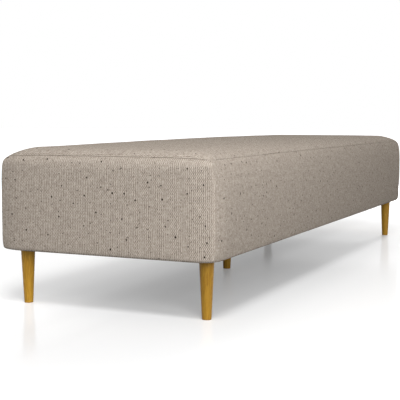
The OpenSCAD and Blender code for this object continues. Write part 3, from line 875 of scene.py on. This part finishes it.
@dataclass
class Cover:
    """The sewn cover: a top panel and four walls, whose hems turn under the frame."""

    shape: BodyShape = field(default_factory=BodyShape)
    fabric: Tweed = field(default_factory=Tweed)
    thickness: float = 1.3 * MM
    step: float = 12.5 * MM
    top_seam_depth: float = 0.4 * MM
    seam_variety: float = 1.4
    corner_seam_depth: float = 1.3 * MM
    seam_width: float = 2.0 * MM
    slack: float = 1.5 * MM
    slack_width: float = 34 * MM
    pressure: float = 4.0
    frames: int = 20
    close_marks: tuple[float, ...] = (0, 0.7, 1.5, 2.5, 3.8, 5.5, 8, 11.5, 16, 22, 30, 40)
    close_to_top: tuple[float, ...] = (0, 0.35, 0.8, 1.5, 2.5, 3.8, 5.5, 8, 11, 14.5, 18.5, 24, 31, 40, 51)

    def seam_pull(
        self, point: Vector, across: Vector, from_top: float, from_corner: float, corner: Vector
    ) -> Vector:
        """How far a point is drawn into the seams near it.

        Args:
            point: The point.
            across: The level direction out of the panel's nearest side.
            from_top: The distance to the seam round the top panel.
            from_corner: The distance to the nearest corner of the body.
            corner: The level direction out of that corner.

        Returns:
            The move.
        """

        def closeness(distance: float) -> float:
            """How strongly a seam acts at a distance, from 1 to 0."""
            return math.exp(-((distance / self.seam_width) ** 1.3))

        turn = math.exp(-from_corner / (5 * self.seam_width))
        level = across.lerp(corner, turn).normalized()
        outward = Vector((level.x, level.y, 0.6)).normalized()
        tight = 1 + self.seam_variety * noise.noise(point * 9)
        top = self.top_seam_depth * tight * closeness(from_top)
        return -(outward * top + corner * self.corner_seam_depth * closeness(from_corner))

    def unevenness(self, point: Vector, near_seam: float) -> float:
        """The small rise and fall of stretched cloth: puckers at a seam, and broad waves in the foam."""
        pucker = noise.noise(point * 34) * 0.45 * MM * math.exp(-near_seam / (22 * MM))
        ripple = noise.noise(point * 70 + Vector((3, 7, 1))) * 0.16 * MM * math.exp(-near_seam / (14 * MM))
        wave = noise.noise(point * 5.5 + Vector((11, 2, 5))) * 0.7 * MM
        fade = 1 - math.exp(-near_seam / (3 * MM))
        return (pucker + ripple + wave) * fade

    def softened(
        self, mesh: bmesh.types.BMesh, distances: Callable[[int, int], tuple[float, float, float]],
        sides: Callable[[Vector], tuple[Vector, Vector]],
    ) -> dict[int, float]:
        """Draws a panel into its seams, gives it slack and unevenness, and says where it is held.

        Args:
            mesh: The panel.
            distances: By column and row, the distances to the top seam, a corner and the hem.
            sides: By point, the level directions out of the side and out of the corner.

        Returns:
            How firmly each vertex is held, from 0 to 1.
        """
        column_of = mesh.verts.layers.int["column"]
        row_of = mesh.verts.layers.int["row"]
        held = {}
        moves = []
        for vert in mesh.verts:
            from_top, from_corner, from_hem = distances(vert[column_of], vert[row_of])
            near_seam = min(from_top, from_corner)
            near = min(near_seam, from_hem)
            slack = 1 - math.exp(-((near / self.slack_width) ** 1.5))
            across, corner = sides(vert.co)
            lift = self.unevenness(vert.co, near_seam) * min(1.0, from_hem / (30 * MM)) - self.slack * slack
            moves.append((vert, vert.normal * lift + self.seam_pull(vert.co, across, from_top, from_corner, corner)))
            held[vert.index] = 1.0 if near < 5 * MM else math.exp(-(near - 5 * MM) / (9 * MM))
        for vert, move in moves:
            vert.co += move
        return held

    def wall(self, wall: Wall, material: bpy.types.Material) -> None:
        """Builds one wall of the cover.

        Args:
            wall: The wall.
            material: The fabric.
        """
        shape = self.shape
        half = shape.half_l if wall.is_long else shape.half_w
        columns = marks_from_both_ends([d * MM for d in self.close_marks], half, self.step)
        top = [shape.cloth_h - d * MM for d in reversed(self.close_to_top)]
        hem = [d for d in even_steps(shape.hem_w, self.step)]
        roll = [shape.hem_w + d for d in even_steps(shape.roll_end - shape.hem_w, 3.2 * MM)[1:]]
        flat = [shape.roll_end + d for d in even_steps(top[0] - shape.roll_end, self.step)[1:-1]]
        rows = [*hem, *roll, *flat, *top]
        middle = [shape.wall_point(wall, 0, up) for up in rows]
        arcs = [0.0]
        for below, above in zip(middle, middle[1:]):
            arcs.append(arcs[-1] + (above - below).length)
        arc_of = dict(zip(rows, arcs))
        roll_row = len(hem) + len(roll) - 1

        def cut(share: float, up: float) -> Vector:
            """The place on the flat cut, whose ribs stand upright on the wall."""
            point = shape.wall_point(wall, share, up)
            return Vector((point.x if wall.is_long else point.y, arc_of[up], 0))

        def distances(column: int, row: int) -> tuple[float, float, float]:
            """Distances to the top seam, to a corner and to the hem."""
            return arcs[-1] - arcs[row], (1 - abs(columns[column])) * half, max(0.0, arcs[row] - arcs[roll_row])

        def sides(point: Vector) -> tuple[Vector, Vector]:
            """Level directions out of the wall and out of the nearest corner."""
            corner = Vector((math.copysign(1, point.x), math.copysign(1, point.y), 0))
            outward = Vector((0, corner.y, 0)) if wall.is_long else Vector((corner.x, 0, 0))
            return outward, corner.normalized()

        mesh = laid_grid(columns, rows, lambda share, up: shape.wall_point(wall, share, up), cut)
        held = self.softened(mesh, distances, sides)
        panel = self.finished(mesh, held, f"{wall.value}_panel")
        dress(panel, material, [f"cover_{wall.value}"])

    def top(self, material: bpy.types.Material) -> None:
        """Builds the top panel out of its fabric."""
        shape = self.shape
        close = [d * MM for d in self.close_marks]
        columns = marks_from_both_ends(close, shape.half_l, self.step)
        rows = marks_from_both_ends(close, shape.half_w, self.step)
        along = [shape.top_point(a, 0) for a in columns]
        across = [shape.top_point(0, b) for b in rows]

        def centred(points: list[Vector]) -> list[float]:
            """Distances along a line of points, from its middle."""
            walk = [0.0]
            for before, after in zip(points, points[1:]):
                walk.append(walk[-1] + (after - before).length)
            return [d - walk[-1] / 2 for d in walk]

        u_of, v_of = dict(zip(columns, centred(along))), dict(zip(rows, centred(across)))
        us, vs = [u_of[a] for a in columns], [v_of[b] for b in rows]

        def distances(column: int, row: int) -> tuple[float, float, float]:
            """Distances to the nearest side seam, to the nearest corner and, unused here, to a hem."""
            to_end, to_side = us[-1] - abs(us[column]), vs[-1] - abs(vs[row])
            return min(to_end, to_side), math.hypot(to_end, to_side), 1.0

        def sides(point: Vector) -> tuple[Vector, Vector]:
            """Level directions out of the nearest side and out of the nearest corner."""
            corner = Vector((math.copysign(1, point.x), math.copysign(1, point.y), 0))
            is_end = shape.half_l - abs(point.x) < shape.half_w - abs(point.y)
            outward = Vector((corner.x, 0, 0)) if is_end else Vector((0, corner.y, 0))
            return outward, corner.normalized()

        mesh = laid_grid(columns, rows, shape.top_point, lambda a, b: Vector((u_of[a], v_of[b], 0)))
        held = self.softened(mesh, distances, sides)
        panel = self.finished(mesh, held, "top_panel")
        dress(panel, material, ["cover_top"])

    def finished(self, mesh: bmesh.types.BMesh, held: dict[int, float], name: str) -> bpy.types.Object:
        """Makes a panel an object, blows it up, smooths it and gives it its thickness."""
        piece = shown_piece(mesh, name)
        puff(piece, held, self.pressure, self.frames, self.slack)
        rounded(piece, 1)
        thickened(piece, self.thickness)
        return piece

    def build(self) -> None:
        """Builds and dresses the five panels."""
        material = self.fabric.material()
        for wall in Wall:
            self.wall(wall, material)
        self.top(material)


@dataclass
class Padding:
    """The foam under the cover: a firm block, a soft crown and a thin slab on each side."""

    shape: BodyShape = field(default_factory=BodyShape)
    inset: float = 4.5 * MM
    step: float = 24 * MM
    z_deck: float = 343.5 * MM
    z_split: float = 393.05 * MM
    board_x: float = 983 * MM
    board_y: float = 295 * MM
    clearance: float = 0.4 * MM
    edge_r: float = 1.5 * MM
    close_marks: tuple[float, ...] = (0, 1.5, 4, 8, 14, 22, 32)

    def up_at(self, height: float) -> float:
        """The distance from the hem's end, along the cloth, of a height on the wall."""
        return self.shape.roll_end + height - self.shape.z_hem - self.shape.bottom_r

    def rim_point(self, a: float, b: float, height: float, inset: float) -> Vector:
        """A point of the ring of walls under the border of the top panel.

        Args:
            a: The place along the bench, from -1 to 1.
            b: The place across the bench, from -1 to 1.
            height: The height.
            inset: How far the point lies inside the cover.

        Returns:
            The point.
        """
        wall, share = (
            (Wall.FRONT, a) if b == -1 else (Wall.BACK, -a) if b == 1 else (Wall.LEFT, -b) if a == -1 else (Wall.RIGHT, b)
        )
        return self.shape.wall_point(wall, share, self.up_at(height), inset)

    def block(self, name: str, roof: Place, levels: Sequence[tuple[float, float]]) -> bpy.types.Object:
        """A block of foam with a skirt of rings under its roof.

        Args:
            name: The piece's name.
            roof: The point of the roof at each place.
            levels: The height and inset of each ring, from the top down.

        Returns:
            The block.
        """
        close = [d * MM for d in self.close_marks]
        columns = marks_from_both_ends(close, self.shape.half_l, self.step)
        rows = marks_from_both_ends(close, self.shape.half_w, self.step)
        mesh = laid_grid(columns, rows, roof, lambda a, b: Vector((a * self.shape.half_l, b * self.shape.half_w, 0)))
        column_of, row_of = mesh.verts.layers.int["column"], mesh.verts.layers.int["row"]
        rim = [edge for edge in mesh.edges if edge.is_boundary]
        for height, inset in levels:
            made = bmesh.ops.extrude_edge_only(mesh, edges=rim)["geom"]
            for vert in (item for item in made if isinstance(item, bmesh.types.BMVert)):
                vert.co = self.rim_point(columns[vert[column_of]], rows[vert[row_of]], height, inset)
            rim = [item for item in made if isinstance(item, bmesh.types.BMEdge) and item.is_boundary]
        bmesh.ops.contextual_create(mesh, geom=rim)
        bmesh.ops.recalc_face_normals(mesh, faces=mesh.faces[:])
        return shown_piece(mesh, name)

    def crown(self) -> bpy.types.Object:
        """The soft crowned layer under the top panel."""
        shape, inset, low = self.shape, self.inset, self.z_split + self.clearance
        levels = [(shape.z_seam - d * MM, inset) for d in (3, 7)]
        levels += [(low + self.edge_r, inset), (low, inset + self.edge_r)]
        return self.block("crown_foam", lambda a, b: shape.top_point(a, b, inset), levels)

    def base(self) -> bpy.types.Object:
        """The firm block under the crown."""
        high, low = self.z_split - self.clearance, self.z_deck + self.clearance

        def roof(a: float, b: float) -> Vector:
            """The flat roof of the block."""
            end = self.rim_point(-1, b, high, self.inset + self.edge_r)
            side = self.rim_point(a, -1, high, self.inset + self.edge_r)
            return Vector((a * abs(end.x), b * abs(side.y), high))

        levels = [(high - self.edge_r, self.inset)]
        levels += [(high + (low - high) * share, self.inset) for share in (0.25, 0.5, 0.75)]
        levels += [(low + self.edge_r, self.inset), (low, self.inset + self.edge_r)]
        return self.block("base_foam", roof, levels)

    def slab(self, wall: Wall) -> bpy.types.Object:
        """The thin foam between a side board and the cover.

        Args:
            wall: The wall that it lies behind.

        Returns:
            The slab.
        """
        shape = self.shape
        low, high = shape.roll_end, self.up_at(self.z_deck - self.clearance)
        half = shape.half_l if wall.is_long else shape.half_w
        reach = 1.0 if wall.is_long else (self.board_y - self.clearance) / (shape.half_w - shape.side_pull)
        close = [d * MM for d in self.close_marks]
        columns = [share * reach for share in marks_from_both_ends(close, half, self.step)]
        rows = [low + d for d in even_steps(high - low, self.step)]
        mesh = laid_grid(
            columns, rows, lambda share, up: shape.wall_point(wall, share, up, self.inset),
            lambda share, up: Vector((share * half, up, 0)),
        )
        piece = shown_piece(mesh, f"{wall.value}_foam_slab")
        depth = shape.half_w - self.board_y if wall.is_long else shape.half_l - self.board_x
        pull = shape.side_pull if wall.is_long else shape.end_pull
        thickened(piece, depth - self.inset - pull - shape.tuck_in - self.clearance)
        return piece

    def build(self) -> None:
        """Builds and dresses all the foam."""
        soft = OpenCellFoam("soft_foam", srgb(240, 233, 206), srgb(196, 180, 138)).material()
        firm = OpenCellFoam("firm_foam", srgb(222, 226, 214), srgb(166, 172, 156), 0.8 * MM).material()
        crown, base = self.crown(), self.base()
        dress(crown, soft, ["seat_foam_top"])
        dress(base, firm, ["seat_foam_base"])
        for wall in Wall:
            slab = self.slab(wall)
            dress(slab, soft, [f"{wall.value}_foam"])


@dataclass
class Suspension:
    """The webbing that carries the seat, the cloth on it, and the dust cover under the frame."""

    half_l: float = 980 * MM
    half_w: float = 292 * MM
    z_rail: float = 340 * MM
    strap_w: float = 70 * MM
    strap_t: float = 1.5 * MM
    pitch: float = 110 * MM
    count: int = 17
    long_pitch: float = 120 * MM
    long_count: int = 4
    edge: float = 3 * MM
    crossing: float = 3 * MM
    rail_t: float = 25 * MM
    z_dust: float = 150 * MM
    legs: tuple[tuple[float, float], ...] = (
        (-0.938, -0.268), (0.938, -0.268), (-0.938, 0.268), (0.938, 0.268), (-0.175, 0.0)
    )
    leg_clear: float = 34 * MM

    def strap(
        self, mesh: bmesh.types.BMesh, start: float, end: float, middle: float, height: Callable[[float], float],
        is_along: bool,
    ) -> None:
        """Adds one strap to a mesh.

        Args:
            mesh: The mesh.
            start: Where the strap starts, along its own length.
            end: Where it ends.
            middle: The place of its centre line.
            height: Its height along its own length.
            is_along: Whether it runs along the bench.
        """
        long, wide = round((end - start) / (6 * MM)), 6
        cut = mesh.loops.layers.uv[CLOTH_MAP]
        made = bmesh.ops.create_grid(mesh, x_segments=long, y_segments=wide, size=1.0)["verts"]
        flat = {}
        for vert in made:
            run = start + (vert.co.x + 1) / 2 * (end - start)
            side = vert.co.y * self.strap_w / 2
            flat[vert] = (run, side)
            level = height(run) + self.strap_t
            vert.co = (run, middle + side, level) if is_along else (middle - side, run, level)
        for face in {face for vert in made for face in vert.link_faces}:
            for loop in face.loops:
                loop[cut].uv = flat[loop.vert]

    def woven_height(self, phase: int) -> Callable[[float], float]:
        """The height of a long strap, which passes over one strap and under the next.

        Args:
            phase: 0 for a strap that starts over the first one, and 1 for one that starts under it.

        Returns:
            The height of its lower face at each place along it.
        """
        reach = self.strap_w / 2 + self.crossing
        knots = [(-self.half_l, 0.0), (-self.half_l + self.rail_t, 0.0)]
        for i in range(self.count):
            level = self.strap_t if (i + phase) % 2 == 0 else -self.strap_t
            middle = (i - (self.count - 1) / 2) * self.pitch
            knots += [(middle - reach, level), (middle + reach, level)]
        knots += [(self.half_l - self.rail_t, 0.0), (self.half_l, 0.0)]

        def height(run: float) -> float:
            """The height at one place, eased between the flat stretches."""
            for (x0, z0), (x1, z1) in zip(knots, knots[1:]):
                if x0 <= run <= x1:
                    share = (run - x0) / (x1 - x0)
                    return self.z_rail + z0 + (z1 - z0) * share * share * (3 - 2 * share)
            return self.z_rail

        return height

    def straps(self, is_along: bool) -> bpy.types.Object:
        """All straps that run the same way, as one piece.

        Args:
            is_along: Whether they run along the bench.

        Returns:
            The piece.
        """
        mesh = bmesh.new()
        mesh.loops.layers.uv.new(CLOTH_MAP)
        if is_along:
            reach = self.half_l - self.edge
            for j in range(self.long_count):
                middle = (j - (self.long_count - 1) / 2) * self.long_pitch
                self.strap(mesh, -reach, reach, middle, self.woven_height(j % 2), True)
        else:
            reach = self.half_w - self.edge
            for i in range(self.count):
                middle = (i - (self.count - 1) / 2) * self.pitch
                self.strap(mesh, -reach, reach, middle, lambda run: self.z_rail, False)
        mesh.normal_update()
        piece = shown_piece(mesh, "straps_along" if is_along else "straps_across")
        thickened(piece, self.strap_t - 0.1 * MM)
        return piece

    def deck(self, material: bpy.types.Material) -> None:
        """The cloth that lies on the webbing, with a faint unevenness in it."""
        half_l, half_w = self.half_l - 1 * MM, self.half_w - 1 * MM

        def place(x: float, y: float) -> Vector:
            """A point of the cloth."""
            return Vector((x, y, self.z_rail + 3.42 * MM - 0.12 * MM * abs(noise.noise(Vector((x, y, 0)) * 18))))

        mesh = laid_grid(even_marks(half_l, 14 * MM), even_marks(half_w, 14 * MM), place, lambda x, y: Vector((x, y, 0)))
        piece = shown_piece(mesh, "deck_sheet")
        thickened(piece, 0.25 * MM)
        dress(piece, material, ["deck_cloth"])

    def dust_cover(self, material: bpy.types.Material) -> None:
        """The black cloth under the frame, which sags a little between its staples."""
        half_l, half_w = self.half_l - 0.5 * MM, self.half_w - 0.5 * MM

        def place(x: float, y: float) -> Vector:
            """A point of the cloth."""
            to_edge = min(half_l - abs(x), half_w - abs(y))
            to_leg = min(math.hypot(x - leg[0], y - leg[1]) for leg in self.legs)
            free = 1 - math.exp(-max(0.0, to_edge - 10 * MM) / (60 * MM))
            free *= 1 - math.exp(-max(0.0, to_leg - self.leg_clear) / (50 * MM))
            crease = 0.5 + 0.5 * noise.noise(Vector((x * 6, y * 9, 4)))
            return Vector((x, y, self.z_dust + 0.1 * MM - free * (1.1 + 1.0 * crease) * MM))

        def flat(x: float, y: float) -> Vector:
            """The place on the cut."""
            return Vector((x, y, 0))

        mesh = laid_grid(even_marks(half_l, 12 * MM), even_marks(half_w, 12 * MM), place, flat)
        for face in mesh.faces:
            face.normal_flip()
        mesh.normal_update()
        piece = shown_piece(mesh, "dust_sheet")
        thickened(piece, 0.3 * MM)
        dress(piece, material, ["dust_cover"])

    def build(self) -> None:
        """Builds and dresses the webbing and both cloths."""
        weave = Webbing().material()
        dress(self.straps(False), weave, ["webbing_across"])
        dress(self.straps(True), weave, ["webbing_along"])
        self.deck(Fleece("deck_fleece", srgb(236, 232, 222), srgb(204, 198, 184)).material())
        self.dust_cover(Fleece("dust_fleece", srgb(52, 50, 49), srgb(26, 25, 25)).material())


@dataclass
class Woodwork:
    """The legs, the frame and their fittings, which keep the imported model's own solids."""

    pine: SawnPine = field(default_factory=SawnPine)
    grains: dict[Grain, tuple[str, ...]] = field(
        default_factory=lambda: {
            Grain.ALONG: ("front_bottom_rail", "back_bottom_rail", "front_top_rail", "back_top_rail"),
            Grain.ACROSS: (
                "left_bottom_rail", "right_bottom_rail", "left_top_rail", "right_top_rail", "left_cross_rail",
                "centre_cross_rail", "inner_right_cross_rail", "outer_right_cross_rail", "left_stretcher",
                "centre_stretcher", "inner_right_stretcher", "outer_right_stretcher", "centre_leg_block",
            ),
            Grain.UPRIGHT: (
                "front_left_post", "front_right_post", "back_left_post", "back_right_post", "front_mid_posts",
                "back_mid_posts", "corner_blocks",
            ),
        }
    )
    legs: tuple[str, ...] = ("front_left_leg", "front_right_leg", "back_left_leg", "back_right_leg", "centre_leg")
    boards: tuple[str, ...] = ("front_board", "back_board", "left_board", "right_board")
    screws: tuple[str, ...] = ("post_screws", "rail_screws", "block_screws")
    bolts: tuple[str, ...] = ("leg_bolts", "threaded_inserts")
    staples: tuple[str, ...] = ("webbing_staples", "dust_cover_staples")

    def paint(self, nodes: Iterable[str], material: bpy.types.Material) -> None:
        """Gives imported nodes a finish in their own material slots.

        Args:
            nodes: The nodes' names.
            material: The finish.
        """
        for name in nodes:
            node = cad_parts[name]
            if not node.material_slots:
                node.data.materials.append(material)
            for slot in node.material_slots:
                slot.material = material
            LOG.info("%s: %s", name, material.name)

    def build(self) -> None:
        """Dresses every solid piece."""
        for grain, names in self.grains.items():
            self.paint(names, self.pine.material(grain))
        self.paint(self.legs, OiledWood().material())
        self.paint(self.boards, Fibreboard().material())
        self.paint(["corner_gussets"], Plywood().material())
        self.paint(self.screws, Metal("yellow_zinc", srgb(206, 186, 132), srgb(166, 150, 112), 0.3).material())
        self.paint(self.bolts, Metal("bright_zinc", srgb(206, 208, 210), srgb(160, 162, 166), 0.28).material())
        self.paint(self.staples, Metal("drawn_steel", srgb(190, 190, 192), srgb(140, 140, 142), 0.32).material())


# ---- the floor, the light and the camera ----


@dataclass(frozen=True)
class Lamp:
    """A soft lamp that points at the bench."""

    name: str
    place: Colour
    size: float
    power: float
    is_mirrored: bool = True


@dataclass
class Studio:
    """A white floor, soft lamps and the camera."""

    lamps: tuple[Lamp, ...] = (
        Lamp("near_corner", (-3.6, -2.2, 1.5), 1.8, 65.5),
        Lamp("corner_high", (-3.0, -1.2, 2.3), 1.2, 15.5),
        Lamp("overhead", (-2.4, -0.9, 3.4), 1.3, 67.5),
        Lamp("front", (-1.6, -3.8, 1.5), 1.8, 40.0),
        Lamp("right", (3.8, 0.0, 1.0), 1.4, 104.5, is_mirrored=False),
        Lamp("back", (0.2, 3.2, 2.0), 2.0, 13.0),
    )
    aim: Vector = field(default_factory=lambda: Vector((0, 0, 0.2)))
    world_level: float = 0.15
    floor_shade: float = 0.82
    floor_bounce: float = 0.35
    floor_glow: float = 0.152
    # Painted light and shade on the floor: the glow beside the middle line, behind the bench and further out
    # lightens the bench's shadow, leaving a painted darker band along its middle.
    beside_glow: float = 0.07
    back_glow: float = 0.12
    open_glow: float = 0.05
    floor_gloss: float = 0.17
    floor_haze: float = 0.14
    far_glow: float = 1.0
    camera_place: Colour = (-3.0766, -1.2274, 0.5081)
    yaw: float = math.radians(24.574)
    pitch: float = math.radians(5.038)
    lens: float = 85.11

    def glow(self, recipe: Recipe) -> bpy.types.NodeSocket:
        """How strongly the floor glows at each place.

        Args:
            recipe: The floor's material.

        Returns:
            The strength, which is least along the middle of the bench and greatest far away; the dip along the
            middle is painted shade under the bench, and the rises beside and behind it paint light into the bench's
            shadow.
        """
        place = recipe.object_place()
        across = recipe.node("ShaderNodeSeparateXYZ", {"Vector": place}).outputs[1]
        off_middle = recipe.sum("ABSOLUTE", recipe.sum("SUBTRACT", across, 0.03))
        level = recipe.sum("MULTIPLY_ADD", recipe.between(off_middle, 0.02, 0.14), self.beside_glow, self.floor_glow)
        level = recipe.sum("MULTIPLY_ADD", recipe.between(across, 0.10, 0.36), self.back_glow, level)
        aside = recipe.sum("ABSOLUTE", across)
        level = recipe.sum("MULTIPLY_ADD", recipe.between(aside, 0.33, 0.47), self.open_glow, level)
        far = recipe.node("ShaderNodeVectorMath", {0: recipe.stretched(place, (0.6, 1, 1))}, operation="LENGTH")
        away = recipe.between(far.outputs["Value"], 1.0, 2.6)
        return recipe.sum("MULTIPLY_ADD", away, recipe.sum("SUBTRACT", self.far_glow, level), level)

    def floor(self) -> None:
        """A wide white floor that keeps the bench's shadow and is clear from below."""
        mesh = bmesh.new()
        bmesh.ops.create_grid(mesh, x_segments=2, y_segments=2, size=30.0)
        data = bpy.data.meshes.new("floor")
        mesh.to_mesh(data)
        mesh.free()
        piece = bpy.data.objects.new("floor", data)
        bpy.context.scene.collection.objects.link(piece)
        recipe = Recipe("floor_paint")
        recipe.finish((self.floor_shade,) * 3, 0.5, specular_ior_level=0.0)
        path = recipe.node("ShaderNodeLightPath", {})
        is_seen = path.outputs["Is Camera Ray"]
        is_shown = recipe.sum("MAXIMUM", is_seen, path.outputs["Is Glossy Ray"])
        is_shown = recipe.sum("MAXIMUM", is_shown, path.outputs["Is Transmission Ray"])
        dull = recipe.node("ShaderNodeBsdfDiffuse", {"Color": (self.floor_bounce,) * 3})
        glow = recipe.node("ShaderNodeEmission", {"Color": (1, 1, 1), "Strength": self.glow(recipe)})
        shine = recipe.node("ShaderNodeBsdfGlossy", {"Color": (1, 1, 1), "Roughness": self.floor_haze})
        glossy = recipe.node("ShaderNodeMixShader", {0: self.floor_gloss, 1: recipe.skin.outputs[0], 2: shine.outputs[0]})
        seen = recipe.node("ShaderNodeAddShader", {0: glossy.outputs[0], 1: glow.outputs[0]})
        lit = recipe.node("ShaderNodeMixShader", {0: is_shown, 1: dull.outputs[0], 2: seen.outputs[0]})
        clear = recipe.node("ShaderNodeBsdfTransparent", {"Color": (1, 1, 1)})
        below = recipe.sum("MULTIPLY", is_seen, recipe.node("ShaderNodeNewGeometry", {}).outputs["Backfacing"])
        shown = recipe.node("ShaderNodeMixShader", {0: below, 1: lit.outputs[0], 2: clear.outputs[0]})
        recipe.link(shown.outputs[0], recipe.output.inputs["Surface"])
        data.materials.append(recipe.material)

    def sky(self) -> None:
        """A pale room that looks white to the camera."""
        world = bpy.data.worlds.new("room")
        bpy.context.scene.world = world
        world.use_nodes = True
        tree = world.node_tree
        tree.nodes.clear()
        path = tree.nodes.new("ShaderNodeLightPath")
        room = tree.nodes.new("ShaderNodeBackground")
        room.inputs["Strength"].default_value = self.world_level
        white = tree.nodes.new("ShaderNodeBackground")
        mix = tree.nodes.new("ShaderNodeMixShader")
        out = tree.nodes.new("ShaderNodeOutputWorld")
        for background in (room, white):
            background.inputs["Color"].default_value = (1, 1, 1, 1)
        seen: bpy.types.NodeSocket = path.outputs["Is Camera Ray"]
        for kind in ("Is Glossy Ray", "Is Transmission Ray"):
            either = tree.nodes.new("ShaderNodeMath")
            either.operation = "MAXIMUM"
            tree.links.new(seen, either.inputs[0])
            tree.links.new(path.outputs[kind], either.inputs[1])
            seen = either.outputs[0]
        tree.links.new(seen, mix.inputs[0])
        tree.links.new(room.outputs[0], mix.inputs[1])
        tree.links.new(white.outputs[0], mix.inputs[2])
        tree.links.new(mix.outputs[0], out.inputs["Surface"])

    def light(self) -> None:
        """Hangs the lamps."""
        for lamp in self.lamps:
            data = bpy.data.lights.new(lamp.name, "AREA")
            data.shape = "DISK"
            data.size = lamp.size
            data.energy = lamp.power
            piece = bpy.data.objects.new(lamp.name, data)
            piece.location = lamp.place
            way = self.aim - Vector(lamp.place)
            piece.rotation_euler = way.to_track_quat("-Z", "Y").to_euler()
            piece.visible_glossy = lamp.is_mirrored
            bpy.context.scene.collection.objects.link(piece)

    def camera(self) -> None:
        """Sets up the camera where the photograph was taken from."""
        data = bpy.data.cameras.new("camera")
        data.lens = self.lens
        data.sensor_width = 36
        data.clip_start, data.clip_end = 0.02, 200
        piece = bpy.data.objects.new("camera", data)
        piece.location = self.camera_place
        level = math.cos(self.pitch)
        aim = Vector((math.cos(self.yaw) * level, math.sin(self.yaw) * level, -math.sin(self.pitch)))
        piece.rotation_euler = aim.to_track_quat("-Z", "Y").to_euler()
        bpy.context.scene.collection.objects.link(piece)
        bpy.context.scene.camera = piece
        bpy.context.scene.view_settings.view_transform = "Standard"

    def build(self) -> None:
        """Sets the stage."""
        self.floor()
        self.sky()
        self.light()
        self.camera()


def main() -> None:
    """Builds the bench's looks in order."""
    logging.basicConfig(level=logging.INFO, format="%(name)s: %(message)s")
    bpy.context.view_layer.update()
    Woodwork().build()
    Suspension().build()
    Padding().build()
    Cover().build()
    Studio().build()


if __name__ == "__main__":
    main()
